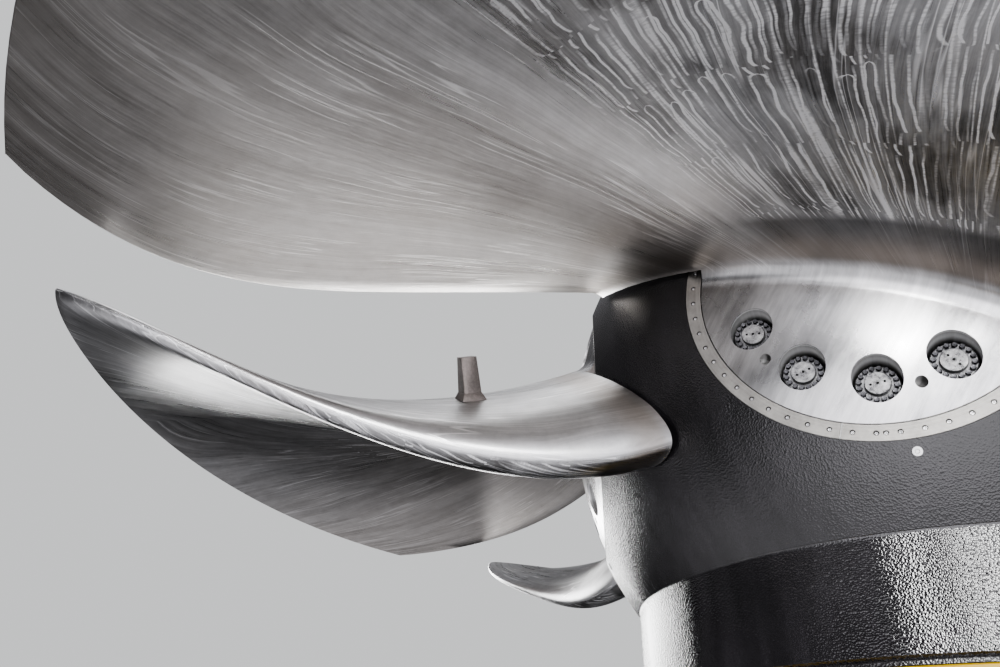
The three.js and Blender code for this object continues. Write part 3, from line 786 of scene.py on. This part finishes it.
def section_at(radius):
    """Leading point, chord and share of the span of the section on a cylinder of this radius."""
    span = (radius - EDGE_INNER) / (TIP_RADIUS - EDGE_INNER)
    leading = np.stack([radius * bezier(LEADING_AZIMUTHS, span), bezier(LEADING_HEIGHTS, span)], -1)
    trailing = np.stack([radius * bezier(TRAILING_AZIMUTHS, span), bezier(TRAILING_HEIGHTS, span)], -1)
    return leading, trailing - leading, np.maximum(span, 0)


def square_to(line):
    return np.stack([line[..., 1], -line[..., 0]], -1)


def middle_line(leading, chord, span, share):
    rise = bezier(CAMBER, span) * 4 * share * (1 - share) * (1 + CAMBER_SKEW * (1 - 2 * share))
    return leading + chord * share[..., None] + unit(square_to(chord)) * rise[..., None]


def side_depth(chord, span, share, above):
    """How far the upper or the lower side lies from the middle line."""
    nose_radius = np.where(above, bezier(UPPER_NOSE, span), bezier(LOWER_NOSE, span))
    nose = np.sqrt(2 * nose_radius * np.linalg.norm(chord, axis=-1) * share)
    depth = np.where(above, bezier(UPPER_DEPTH, span), bezier(LOWER_DEPTH, span))
    body = depth + (bezier(TAIL_HALF_THICKNESS, span) - depth) * share**TAPER_POWER
    return np.where(share < 1e-12, 0, (np.maximum(nose, 1e-9) ** -3 + body**-3) ** (-1 / 3))


def skin_point(radius, place):
    """Points of the skin. place is -1 at the tail, 0 at the nose by the lower side, and 1 back at the tail."""
    radius, place = np.broadcast_arrays(np.asarray(radius, float), np.asarray(place, float))
    leading, chord, span = section_at(radius)
    share = place * place
    ahead, behind = (middle_line(leading, chord, span, share + step) for step in (1e-3, -1e-3))
    depth = np.sign(place) * side_depth(chord, span, share, place > 0)
    point = middle_line(leading, chord, span, share) + unit(square_to(ahead - behind)) * depth[..., None]
    azimuth = point[..., 0] / radius
    return np.stack([radius * np.cos(azimuth), radius * np.sin(azimuth), point[..., 1]], -1)


def skin_normal(radius, place):
    across = skin_point(radius, place + 1e-3) - skin_point(radius, place - 1e-3)
    outward = skin_point(radius + 0.002, place) - skin_point(radius - 0.002, place)
    return unit(np.cross(across, outward))


def skin_lines(places, fillet_steps, shares):
    """For each place a line of points from inside the flange through the root fillet to the tip."""
    low, high = np.full(places.shape, 1.5), np.full(places.shape, 3.2)
    for _ in range(24):
        radius = (low + high) / 2
        centre = skin_point(radius, places) + FILLET_RADIUS * skin_normal(radius, places)
        inside = np.linalg.norm(centre, axis=-1) < DOME_RADIUS + FILLET_RADIUS
        low, high = np.where(inside, radius, low), np.where(inside, high, radius)
    centre = skin_point(low, places) + FILLET_RADIUS * skin_normal(low, places)
    foot = unit(centre) * DOME_RADIUS
    start, end = foot - centre, skin_point(low, places) - centre
    angle = np.arccos(np.clip((start * end).sum(-1) / FILLET_RADIUS**2, -1, 1))[..., None]
    rows = [foot * (1 - sunk / DOME_RADIUS) for sunk in (0.05, 0.0006)]
    for share in np.arange(1, fillet_steps + 1) / fillet_steps:
        arm = start * np.sin((1 - share) * angle) + end * np.sin(share * angle)
        rows.append(centre + arm / np.sin(angle))
    rows += [skin_point(low + (TIP_RADIUS - low) * share, places) for share in shares]
    return np.array(rows).transpose(1, 0, 2)


def foil(side_steps, fillet_steps, shares, tail_steps=4, tip_round=0.010):
    """The blade as a closed solid of points and faces, without its flange."""
    lines = skin_lines(np.linspace(-1, 1, 2 * side_steps + 1), fillet_steps, shares)
    # a rounded tail between the last line above and the first line below
    upper, lower = lines[-1], lines[0]
    half = (upper - lower) / 2
    back = lines[-1] - lines[-2]
    back = unit(back - half * ((back * half).sum(-1) / (half * half).sum(-1))[:, None])
    reach = 0.45 * np.linalg.norm(half, axis=-1, keepdims=True)
    turns = [math.pi * k / tail_steps for k in range(1, tail_steps)]
    tail = [(upper + lower) / 2 + half * math.cos(turn) + back * reach * math.sin(turn) for turn in turns]
    lines = np.concatenate([lines, np.array(tail)])
    # a rounded tip: the last row shrinks towards the middle of the section
    ends = 2 * side_steps
    count = len(lines)
    tips = lines[:, -1]
    inward = tips[[ends - i if i <= ends else i for i in range(count)]] - tips
    size = np.linalg.norm(inward, axis=-1, keepdims=True)
    inward = np.where(size > 1e-6, inward / np.maximum(size, 1e-6), 0) * np.minimum(tip_round, size * 0.3)
    lines = np.concatenate([lines, (tips + inward)[:, None]], axis=1)
    lines[:, -2] -= unit(tips * (1, 1, 0)) * tip_round * 0.6
    along = lines.shape[1]
    faces = []
    for i in range(count):
        n = (i + 1) % count
        for j in range(along - 1):
            faces.append((i * along + j, n * along + j, n * along + j + 1, i * along + j + 1))
    # both ends are closed by strips from the lower side to the upper
    for column, flip in ((0, False), (along - 1, True)):
        strips = []
        for i in range(side_steps):
            low, next_low, next_high, high = i, i + 1, ends - 1 - i, ends - i
            strips.append((low, high, next_low) if i == side_steps - 1 else (low, high, next_high, next_low))
        strips.append((ends, 0, *range(count - 1, ends, -1)))
        for strip in strips:
            face = [line * along + column for line in strip]
            faces.append(tuple(face[::-1] if flip else face))
    return lines.reshape(-1, 3), faces


def clearance_profile():
    """The profile of the clearance between blade and hub, open over the root flange."""
    inner = FLANGE_RADIUS - 0.008
    turns = np.linspace(math.asin(inner / CLEARANCE_RADIUS), math.radians(115), 24)
    arc = [(CLEARANCE_RADIUS * math.sin(turn), CLEARANCE_RADIUS * math.cos(turn)) for turn in turns]
    corner = (inner, arc[-1][1])
    return [corner, *reversed(arc), corner]


def dome_disc():
    """The root flange with its spherical outer face."""
    edge = 0.003
    profile = [(0, FLANGE_BACK), (FLANGE_RADIUS - edge, FLANGE_BACK), (FLANGE_RADIUS, FLANGE_BACK + edge)]
    profile.append((FLANGE_RADIUS, FLANGE_FACE - edge))
    for i in range(DOME_STEPS, -1, -1):
        radius = (FLANGE_RADIUS - edge) * i / DOME_STEPS
        profile.append((radius, math.sqrt(DOME_RADIUS**2 - radius**2)))
    return turned(profile, FLANGE_STEPS, about_x=True)


def hole_cutters():
    """Pockets, stud holes and round-bottomed plug holes as one set of closed solids."""
    outside = DOME_RADIUS + 0.09
    parts = []
    pocket = [(0, POCKET_FLOOR), (POCKET_RADIUS - 0.01, POCKET_FLOOR), (POCKET_RADIUS, POCKET_FLOOR + 0.01)]
    pocket += [(POCKET_RADIUS, outside), (0, outside)]
    hole = rod(STUD_HOLE_RADIUS, FLANGE_BACK - 0.05, POCKET_FLOOR + 0.005)
    for spot in POCKETS:
        parts += [flange_part(pocket, 64, spot), flange_part(hole, 32, spot)]
    wide = PLUG_HOLE_RADIUS
    for radius, angle in PLUG_HOLES:
        floor = math.sqrt(DOME_RADIUS**2 - radius**2) - PLUG_HOLE_DEPTH
        turns = np.linspace(0.2, math.pi / 2, 8)
        ball = [(0, floor)]
        ball += [(wide * math.sin(turn), floor + wide - wide * math.cos(turn)) for turn in turns]
        ball += [(wide, outside), (0, outside)]
        parts.append(flange_part(ball, 32, (radius, angle)))
    return joined(parts)


def store_grain(mesh):
    """Stores where each point lies along the chord and the span, for the grinding marks."""
    points = points_of(mesh)
    radius = np.maximum(np.hypot(points[:, 0], points[:, 1]), 1.2)
    azimuth = np.arctan2(points[:, 1], points[:, 0])
    leading, chord, span = section_at(radius)
    share = np.clip((azimuth * radius - leading[:, 0]) / chord[:, 0], -0.2, 1.2)
    middle = middle_line(leading, chord, span, np.clip(share, 0, 1))
    side = np.clip((points[:, 2] - middle[:, 1]) / 0.04, -1, 1)
    # the marks under the blade drift across it towards the tip
    drift = np.where(side < 0, np.clip(0.5 * (0.51 - share) * (1.05 - share), -0.05, 0.08), 0)
    flow = share + drift * (radius - 3.0)
    store_vector(mesh, "grain", np.stack([flow * 3.6, radius, side * 0.5], -1))


# Pieces


class RUNNER_OT_hub(bpy.types.Operator):
    """Black round hub with its five sockets, the lower cylinder and both end flanges"""

    bl_idname = "runner.hub"
    bl_label = "Hub"

    def execute(self, context):
        colour = context.scene.runner_colours.hub_paint
        satin = paint("hub_satin_black", colour, 0.20, 0.20, 1.75)
        gloss = paint("cylinder_gloss_black", colour, 0.07, 0.18, 1.9)
        self.add_hub(satin)
        self.add_cylinder(gloss)
        self.add_end_flanges(satin)
        self.add_plugs()
        return {"FINISHED"}

    def add_hub(self, finish):
        turns = np.linspace(math.asin(HUB_BOTTOM / SPHERE_RADIUS), math.asin(HUB_TOP / SPHERE_RADIUS), 72)
        arc = [(SPHERE_RADIUS * math.cos(turn), SPHERE_RADIUS * math.sin(turn)) for turn in turns]
        profile = [(0, HUB_BOTTOM), *arc, (0, HUB_TOP)]
        hub = new_object("hub_shell", turned_mesh("hub_shell", profile, ROUND_STEPS))
        end, floor, seat = TRUNNION_END - RUNNING_GAP, TRUNNION_DISC_BACK - RUNNING_GAP, RING_BACK - FIT_GAP
        bearing, socket, outer = TRUNNION_SHAFT_RADIUS + 0.001, RING_INNER + 0.002, RING_OUTER + 0.0015
        outside = SPHERE_RADIUS + 0.1
        cutter = [(0, end), (bearing, end), (bearing, floor), (socket, floor), (socket, seat), (outer, seat)]
        sockets = turned([*cutter, (outer, outside), (0, outside)], 192, about_x=True)
        for index in range(BLADE_COUNT):
            cut(hub, moved(sockets, blade_turn(index)))
        settle(hub, RUNNER_PLACE, "hub", finish, "black_paint", "hub_body")

    def add_plugs(self):
        """A bright plug set flush in the hub under each blade root."""
        low, top, edge = SPHERE_RADIUS + 0.0001, SPHERE_RADIUS + 0.004, 0.002
        wide = HUB_PLUG_RADIUS
        profile = [(0, low), (wide, low), (wide, top - edge), (wide - edge, top)]
        profile += [(0.010, top), (0.007, top - 0.003), (0, top - 0.003)]
        aim = Matrix.Rotation(HUB_PLUG_AZIMUTH, 4, "Z") @ Matrix.Rotation(-HUB_PLUG_ELEVATION, 4, "Y")
        mesh = mesh_from("hub_plug", *moved(turned(profile, 32, about_x=True), aim))
        at_each_blade("hub_plug", mesh, plain_steel("plug_steel", (0.86, 0.86, 0.85), 0.42), "ring_steel")

    def add_cylinder(self, finish):
        top, edge = HUB_BOTTOM - FIT_GAP, 0.014
        profile = [(0, CYLINDER_BOTTOM), (CYLINDER_RADIUS - edge, CYLINDER_BOTTOM)]
        profile += [(CYLINDER_RADIUS, CYLINDER_BOTTOM + edge)]
        # a painted fillet up to the hub's lower edge
        wide, tall = math.sqrt(SPHERE_RADIUS**2 - HUB_BOTTOM**2) - 0.0005 - CYLINDER_RADIUS, 0.024
        for turn in np.linspace(0, math.pi / 2, 7):
            profile.append((CYLINDER_RADIUS + wide * (1 - math.cos(turn)), top - tall * (1 - math.sin(turn))))
        profile.append((0, top))
        slot, node = "gloss_black_paint", "hub_lower_cylinder"
        add_turned("lower_cylinder", profile, ROUND_STEPS, RUNNER_PLACE, finish, slot, node)

    def add_end_flanges(self, finish):
        top = CYLINDER_BOTTOM - FIT_GAP
        profile = disc(SHAFT_FLANGE_RADIUS, top - SHAFT_FLANGE_THICKNESS, top)
        slot, node = "gloss_black_paint", "hub_shaft_flange"
        add_turned("shaft_flange", profile, FLANGE_STEPS, RUNNER_PLACE, finish, slot, node)
        bottom = HUB_TOP + FIT_GAP
        face = bottom + NOSE_FLANGE_THICKNESS
        profile = disc(NOSE_FLANGE_RADIUS, bottom, face)[:-1]
        profile += disc(NOSE_SPIGOT_RADIUS, face - 0.006, face + NOSE_SPIGOT_HEIGHT)[2:]
        slot, node = "black_paint", "hub_nose_flange"
        add_turned("nose_flange", profile, FLANGE_STEPS, RUNNER_PLACE, finish, slot, node)


class RUNNER_OT_blades(bpy.types.Operator):
    """Five ground steel blades, each in one piece with its root flange"""

    bl_idname = "runner.blades"
    bl_label = "Blades"

    def execute(self, context):
        shares = [(i / SPAN_STEPS) ** 0.92 for i in range(1, SPAN_STEPS + 1)]
        blade = new_object("blade_form", mesh_from("blade_form", *foil(SIDE_STEPS, FILLET_STEPS, shares)))
        cut(blade, turned(clearance_profile(), FLANGE_STEPS, about_x=True))
        cut(blade, dome_disc(), "UNION")
        cut(blade, hole_cutters())
        mesh = blade.data
        store_grain(mesh)
        store_seat(mesh)
        bpy.data.objects.remove(blade)
        finish = blade_steel(context.scene.runner_colours.blade_steel)
        at_each_blade("blade_skin", mesh, finish, "ground_steel", "blade_#", with_blade=True)
        return {"FINISHED"}


def screw_spots(sizes):
    """Places of the ring screws, both ways from the ring's split, and of one odd one."""
    split = math.degrees(RING_SPLIT)
    steps = [SCREW_STEP_DEG * (i + 0.5) for i in range(sizes.screws_per_half)]
    angles = [*(split + step for step in steps), *(split - step for step in steps), ODD_SCREW_DEG]
    return [(sizes.screw_circle, angle) for angle in angles]


class RUNNER_OT_seal_rings(bpy.types.Operator):
    """Split seal ring with counterbored screw holes around each root flange"""

    bl_idname = "runner.seal_rings"
    bl_label = "Seal rings"

    def execute(self, context):
        sizes = context.scene.runner_sizes
        chamfer, lip = 0.0025, 0.0008
        profile = [(RING_INNER, RING_BACK), (RING_OUTER, RING_BACK), (RING_OUTER, FLANGE_FACE - chamfer)]
        profile += [(RING_OUTER - chamfer, FLANGE_FACE), (RING_INNER + lip, FLANGE_FACE)]
        profile += [(RING_INNER, FLANGE_FACE - lip), (RING_INNER, RING_BACK)]
        ring = new_object("seal_ring_form", turned_mesh("seal_ring_form", profile, ROUND_STEPS, about_x=True))
        wide, outside = sizes.counterbore_radius, FLANGE_FACE + 0.02
        bore = [(0, SCREW_SEAT), (wide - 0.003, SCREW_SEAT), (wide, FLANGE_FACE - 0.003)]
        bore += [(wide + 0.002, outside), (0, outside)]
        cut(ring, joined([flange_part(bore, 14, spot) for spot in screw_spots(sizes)]))
        finish = turned_steel("seal_ring_steel", context.scene.runner_colours.ring_steel, 0.40)
        for name, turn in (("left", RING_SPLIT), ("right", RING_SPLIT + math.pi)):
            half = new_object("half", ring.data.copy())
            cut(half, self.cutting_block(turn))
            store_seat(half.data)
            at_each_blade(f"seal_ring_{name}", half.data, finish, "ring_steel", f"seal_ring_#_{name}")
            bpy.data.objects.remove(half)
        bpy.data.objects.remove(ring)
        self.add_joint_strips()
        return {"FINISHED"}

    def cutting_block(self, turn):
        """A box over the other half of the ring, past the split's own gap."""
        far, gap = 2.0, JOINT_WIDTH / 2
        sine, cosine = math.sin(turn), math.cos(turn)
        places = [(x, u, v) for x in (1.0, 3.0) for u in (-far, far) for v in (-gap, far)]
        corners = [(x, u * sine + v * cosine, -u * cosine + v * sine) for x, u, v in places]
        return corners, [(0, 1, 3, 2), (4, 6, 7, 5), (0, 4, 5, 1), (2, 3, 7, 6), (0, 2, 6, 4), (1, 5, 7, 3)]

    def add_joint_strips(self):
        """The pale strips that close both joints of each ring."""
        low, face, crown = RING_BACK + 0.002, FLANGE_FACE - 0.001, FLANGE_FACE + 0.0008
        half, ends = JOINT_WIDTH / 2 - 0.0004, (RING_INNER + 0.001, RING_OUTER - 0.002)
        section = [(low, -half), (low, half), (face, half)]
        section += [(crown, half * 0.5), (crown, -half * 0.5), (face, -half)]
        parts = []
        for turn in (RING_SPLIT, RING_SPLIT + math.pi):
            down = Vector((0, math.sin(turn), -math.cos(turn)))
            across = Vector((0, math.cos(turn), math.sin(turn)))
            corners = [down * reach + across * v + Vector((x, 0, 0)) for reach in ends for x, v in section]
            faces = [tuple(range(6)), tuple(range(11, 5, -1))]
            faces += [(k, k + 6, (k + 1) % 6 + 6, (k + 1) % 6) for k in range(6)]
            parts.append((corners, faces))
        mesh = mesh_from("ring_joints", *joined(parts), smooth=False)
        finish = plain_steel("joint_strip", (0.74, 0.74, 0.72), 0.5, metallic=0.1)
        at_each_blade("ring_joints", mesh, finish, "ring_steel")


class RUNNER_OT_ring_screws(bpy.types.Operator):
    """Hexagon socket screws in the seal rings"""

    bl_idname = "runner.ring_screws"
    bl_label = "Ring screws"

    def execute(self, context):
        sizes = context.scene.runner_sizes
        radius, height = sizes.screw_radius, 0.006
        rings = [(radius, 0), (radius, height * 0.8), (radius * 0.86, height)]
        rings += [(radius * 0.52, height), (radius * 0.50, height * 0.35)]
        points = [on_flange(*spot) @ Vector((SCREW_SEAT, 0, 0)) for spot in screw_spots(sizes)]
        finish = plain_steel("screw_steel", (0.50, 0.50, 0.50), 0.22)
        mesh = placed_by_nodes("ring_screws", ring_form("socket_screw", 12, rings), points, finish)
        at_each_blade("ring_screws", mesh, finish, "stud_steel")
        return {"FINISHED"}


class RUNNER_OT_trunnions(bpy.types.Operator):
    """Trunnion with its studs, and the stud tensioners in the flange pockets"""

    bl_idname = "runner.trunnions"
    bl_label = "Trunnions and tensioners"

    def execute(self, context):
        sizes = context.scene.runner_sizes
        dark = plain_steel("tensioner_steel", context.scene.runner_colours.tensioner_steel, 0.34)
        bright = stud_end_steel()
        black = plain_steel("jackbolt_steel", (0.17, 0.17, 0.18), 0.20, 90.0)
        bolt = hexagon_head(sizes.jackbolt_radius, 0.017)
        circle = around(sizes.jackbolt_count, sizes.jackbolt_circle, first=0.3)
        points = [on_flange(*spot) @ Vector((BOLT_SEAT, y, z)) for spot in POCKETS for y, z in circle]
        rows = (
            ("trunnion_shaft", self.shaft(), dark),
            ("tensioner_bodies", self.tensioner_bodies(), dark),
            ("stud_ends", self.stud_ends(), bright),
            ("jackbolts", placed_by_nodes("jackbolts", bolt, points, black), black),
        )
        for name, mesh, finish in rows:
            store_seat(mesh)
            at_each_blade(name, mesh, finish, "stud_steel", "trunnion_#", with_blade=True)
        return {"FINISHED"}

    def shaft(self):
        back, edge = FLANGE_BACK - FIT_GAP, 0.01
        profile = [(0, TRUNNION_END), (TRUNNION_SHAFT_RADIUS - edge, TRUNNION_END)]
        profile += [(TRUNNION_SHAFT_RADIUS, TRUNNION_END + edge), (TRUNNION_SHAFT_RADIUS, TRUNNION_DISC_BACK)]
        profile += [(TRUNNION_DISC_RADIUS, TRUNNION_DISC_BACK), (TRUNNION_DISC_RADIUS, back), (0, back)]
        stud = rod(STUD_RADIUS, back + 0.0002, POCKET_FLOOR)
        studs = [flange_part(stud, 24, spot) for spot in POCKETS]
        return mesh_from("trunnion_shaft", *joined([turned(profile, 96, about_x=True), *studs]))

    def tensioner_bodies(self):
        """Chamfered rings that carry the jackbolts, over their washers."""
        seat, size, top = POCKET_FLOOR + FIT_GAP, TENSIONER_RADIUS, TENSIONER_TOP
        profile = [(0, seat), (size, seat), (size, seat + 0.020), (size - 0.003, seat + 0.023)]
        profile += [(size - 0.003, top - 0.006), (size - 0.008, top), (0, top)]
        return mesh_from("tensioner_bodies", *joined([flange_part(profile, 64, spot) for spot in POCKETS]))

    def stud_ends(self):
        """The studs' ground end faces, with a centre hole in a raised rim and two small spanner holes."""
        low, top, size = BOLT_SEAT, STUD_END_TOP, STUD_END_RADIUS
        profile = [(0, low), (size, low), (size, top - 0.003), (size - 0.003, top), (0.0115, top)]
        profile += [(0.0095, top + 0.002), (0.0070, top + 0.002), (0.0055, top - 0.004), (0, top - 0.004)]
        end = new_object("stud_end_form", turned_mesh("stud_end_form", profile, 48, about_x=True))
        hole = turned(rod(0.0060, top - 0.010, top + 0.010), 16, about_x=True)
        cut(end, joined([moved(hole, Matrix.Translation((0, offset, 0))) for offset in (-0.030, 0.030)]))
        form = points_of(end.data), [tuple(face.vertices) for face in end.data.polygons]
        bpy.data.objects.remove(end)
        parts = []
        for spot, turn in zip(POCKETS, STUD_END_TURNS):
            parts.append(moved(form, on_flange(*spot) @ Matrix.Rotation(math.radians(turn), 4, "X")))
        return mesh_from("stud_ends", *joined(parts))


class RUNNER_OT_lifting_lugs(bpy.types.Operator):
    """Flame-cut lifting lug with a rough welded foot on each blade"""

    bl_idname = "runner.lifting_lugs"
    bl_label = "Lifting lugs"

    def execute(self, context):
        finish = plain_steel("lug_steel", (0.22, 0.195, 0.185), 0.5, 26.0, 0.7, bump=0.6, distance=0.004)
        for index in range(BLADE_COUNT):
            node = f"lifting_lug_{index + 1}"
            piece = bevelled_node(f"lug_block_{index + 1}", node)
            settle(piece, AS_MADE, blade_body(index), finish, "lug_steel", node)
        return {"FINISHED"}


class RUNNER_OT_stand(bpy.types.Operator):
    """Assembly stand with its yellow top plate, grey legs and base, and the bolts of the nose flange"""

    bl_idname = "runner.stand"
    bl_label = "Stand"

    def execute(self, context):
        colours = context.scene.runner_colours
        yellow = stand_paint("stand_yellow", colours.stand_paint)
        grey = stand_paint("stand_grey", colours.stand_grey)
        top = HUB_CENTRE.z + CYLINDER_BOTTOM - SHAFT_FLANGE_THICKNESS - 2 * FIT_GAP
        plate = disc(STAND_TOP_RADIUS, top - STAND_TOP_THICKNESS, top)
        add_turned("stand_top", plate, 128, AS_MADE, yellow, "yellow_paint", "stand_top_plate")
        plate = disc(STAND_BASE_RADIUS, 0.0, STAND_BASE_THICKNESS)
        add_turned("stand_base", plate, 128, AS_MADE, grey, "grey_paint", "stand_base_plate")
        for number in range(1, STAND_LEGS + 1):
            node = f"stand_leg_{number}"
            piece = bevelled_node(f"stand_post_{number}", node, flat=0.01)
            settle(piece, AS_MADE, "hub", grey, "grey_paint", node)
        self.add_bolts(context.scene.runner_sizes.flange_bolt_count)
        return {"FINISHED"}

    def add_bolts(self, nose_bolts):
        steel = plain_steel("stand_bolt_steel", (0.42, 0.42, 0.43), 0.35)
        bolt = hexagon_head(0.030, 0.024)
        bolt.transform(Matrix.Rotation(-math.pi / 2, 4, "Y"))
        level = HUB_CENTRE.z + HUB_TOP + FIT_GAP + NOSE_FLANGE_THICKNESS + 0.0003
        points = [(x, y, level) for x, y in around(nose_bolts, NOSE_BOLT_CIRCLE)]
        level = STAND_BASE_THICKNESS + 0.0003
        points += [(x, y, level) for x, y in around(BASE_BOLTS, BASE_BOLT_CIRCLE)]
        piece = new_object("flange_bolts", placed_by_nodes("flange_bolts", bolt, points, steel, spread=0.0))
        settle(piece, AS_MADE, "hub", steel, "stud_steel")


class RUNNER_OT_stage(bpy.types.Operator):
    """Pale floor, soft studio light and the camera"""

    bl_idname = "runner.stage"
    bl_label = "Stage"

    def execute(self, context):
        self.add_floor()
        self.add_lights()
        self.add_world(context)
        self.add_camera(context)
        context.scene.view_settings.look = "AgX - Medium High Contrast"
        return {"FINISHED"}

    def add_floor(self):
        far, level = 70.0, -0.002
        corners = [(-far, -far, level), (far, -far, level), (far, far, level), (-far, far, level)]
        floor = new_object("studio_floor", mesh_from("studio_floor", corners, [(0, 1, 2, 3)], smooth=False))
        f = Finish("studio_floor")
        tint = f.colour(f.noise(f.place(), 0.4, 3.0), (0.55, 0.55, 0.54, 1), (0.62, 0.62, 0.61, 1))
        floor.data.materials.append(f.surface(tint, 0.0, 0.75))
        floor.visible_glossy = False

    def add_lights(self):
        rows = (
            # name, place, aimed at, width, height, power
            ("left_windows", (-10.2, -13.6, 6.5), (1.0, -1.0, 3.8), 11.2, 6.5, 2250.0),
            ("front_window_1", (18.0, 2.3, 6.3), (1.0, 0.0, 3.4), 3.2, 7.4, 2000.0),
            ("front_window_2", (18.0, 8.2, 6.3), (1.0, 0.0, 3.4), 2.6, 7.4, 800.0),
            ("overhead", (1.0, -1.0, 13.0), (0.0, 0.0, 0.0), 12.0, 12.0, 900.0),
        )
        for name, place, target, width, height, power in rows:
            light = bpy.data.lights.new(name, "AREA")
            light.shape = "RECTANGLE"
            light.size, light.size_y, light.energy = width, height, power
            lamp = new_object(name, light)
            lamp.location = place
            lamp.rotation_euler = (Vector(target) - Vector(place)).to_track_quat("-Z", "Y").to_euler()
            lamp.visible_camera = False

    def add_world(self, context):
        """Pale ground behind the runner, and for reflections a dim hall with a bright floor in front."""
        f = Finish("studio", bpy.data.worlds)
        x, y, z = f.parts(f.node("ShaderNodeTexCoord", output="Generated"))
        back_left = f.between(x * -0.848 - y * 0.53, 0.30, 0.72, smooth=True)
        steep = f.between(z, -0.62, -0.50, 0.30, 0.06, smooth=True)
        front_left = f.between(x * 0.77 - y * 0.64, 0.70, 0.90, smooth=True)
        front_left = front_left * f.between(z, -0.46, -0.28, smooth=True)
        floor = f.between(back_left, 0.0, 1.0, 1.05, 0.0) * (1.0 - front_left * 0.85) + back_left * steep
        front = f.between(x * 0.966 + y * 0.259, 0.52, 0.80, 0.0, 2.2, smooth=True)
        front = front * f.between(z, -0.06, 0.0, 1.0, 0.0)
        walls = f.between(z, 0.50, 0.95, 0.10, 0.75, smooth=True)
        below = f.between(z, -0.26, -0.06, 1.0, 0.0, smooth=True)
        strength = floor * below + walls * (1.0 - below) + front
        fill = f.node("ShaderNodeBackground", None, {"Color": (0.79, 0.785, 0.82, 1), "Strength": strength})
        seen = f.node("ShaderNodeBackground", None, {"Color": (0.80, 0.81, 0.82, 1), "Strength": 0.85})
        seen_share = f.node("ShaderNodeLightPath", output="Is Camera Ray")
        mix = f.node("ShaderNodeMixShader", None, {0: seen_share, 1: fill, 2: seen})
        context.scene.world = f.shown(mix, "ShaderNodeOutputWorld")

    def add_camera(self, context):
        camera = bpy.data.cameras.new("camera")
        camera.sensor_width, camera.lens, camera.clip_end = 36.0, 26.754, 200.0
        holder = new_object("camera", camera)
        right = Vector((-0.43798, 0.89878, 0.01939))
        up = Vector((0.47994, 0.21553, 0.85041))
        back = Vector((0.76015, 0.38177, -0.52576))
        matrix = Matrix((right, up, back)).transposed().to_4x4()
        matrix.translation = Vector((5.2901, -0.2732, 1.6031))
        holder.matrix_world = matrix
        context.scene.camera = holder


PIECE_OPERATORS = (
    RUNNER_OT_hub,
    RUNNER_OT_blades,
    RUNNER_OT_seal_rings,
    RUNNER_OT_ring_screws,
    RUNNER_OT_trunnions,
    RUNNER_OT_lifting_lugs,
    RUNNER_OT_stand,
    RUNNER_OT_stage,
)


class RUNNER_PT_panel(bpy.types.Panel):
    """Sizes, colours and the pieces of the runner"""

    bl_label = "Turbine runner"
    bl_idname = "RUNNER_PT_panel"
    bl_space_type = "VIEW_3D"
    bl_region_type = "UI"
    bl_category = "Runner"

    def draw(self, context):
        for group in (context.scene.runner_sizes, context.scene.runner_colours):
            box = self.layout.box()
            for name in group.__annotations__:
                box.prop(group, name)
        column = self.layout.column()
        for operator in PIECE_OPERATORS:
            column.operator(operator.bl_idname)


CLASSES = (RunnerSizes, RunnerColours, *PIECE_OPERATORS, RUNNER_PT_panel)


def register():
    for kind in CLASSES:
        bpy.utils.register_class(kind)
    bpy.types.Scene.runner_sizes = PointerProperty(type=RunnerSizes)
    bpy.types.Scene.runner_colours = PointerProperty(type=RunnerColours)


def unregister():
    del bpy.types.Scene.runner_sizes
    del bpy.types.Scene.runner_colours
    for kind in reversed(CLASSES):
        bpy.utils.unregister_class(kind)


def main():
    register()
    for operator in PIECE_OPERATORS:
        group, name = operator.bl_idname.split(".")
        getattr(getattr(bpy.ops, group), name)()


if __name__ == "__main__":
    main()
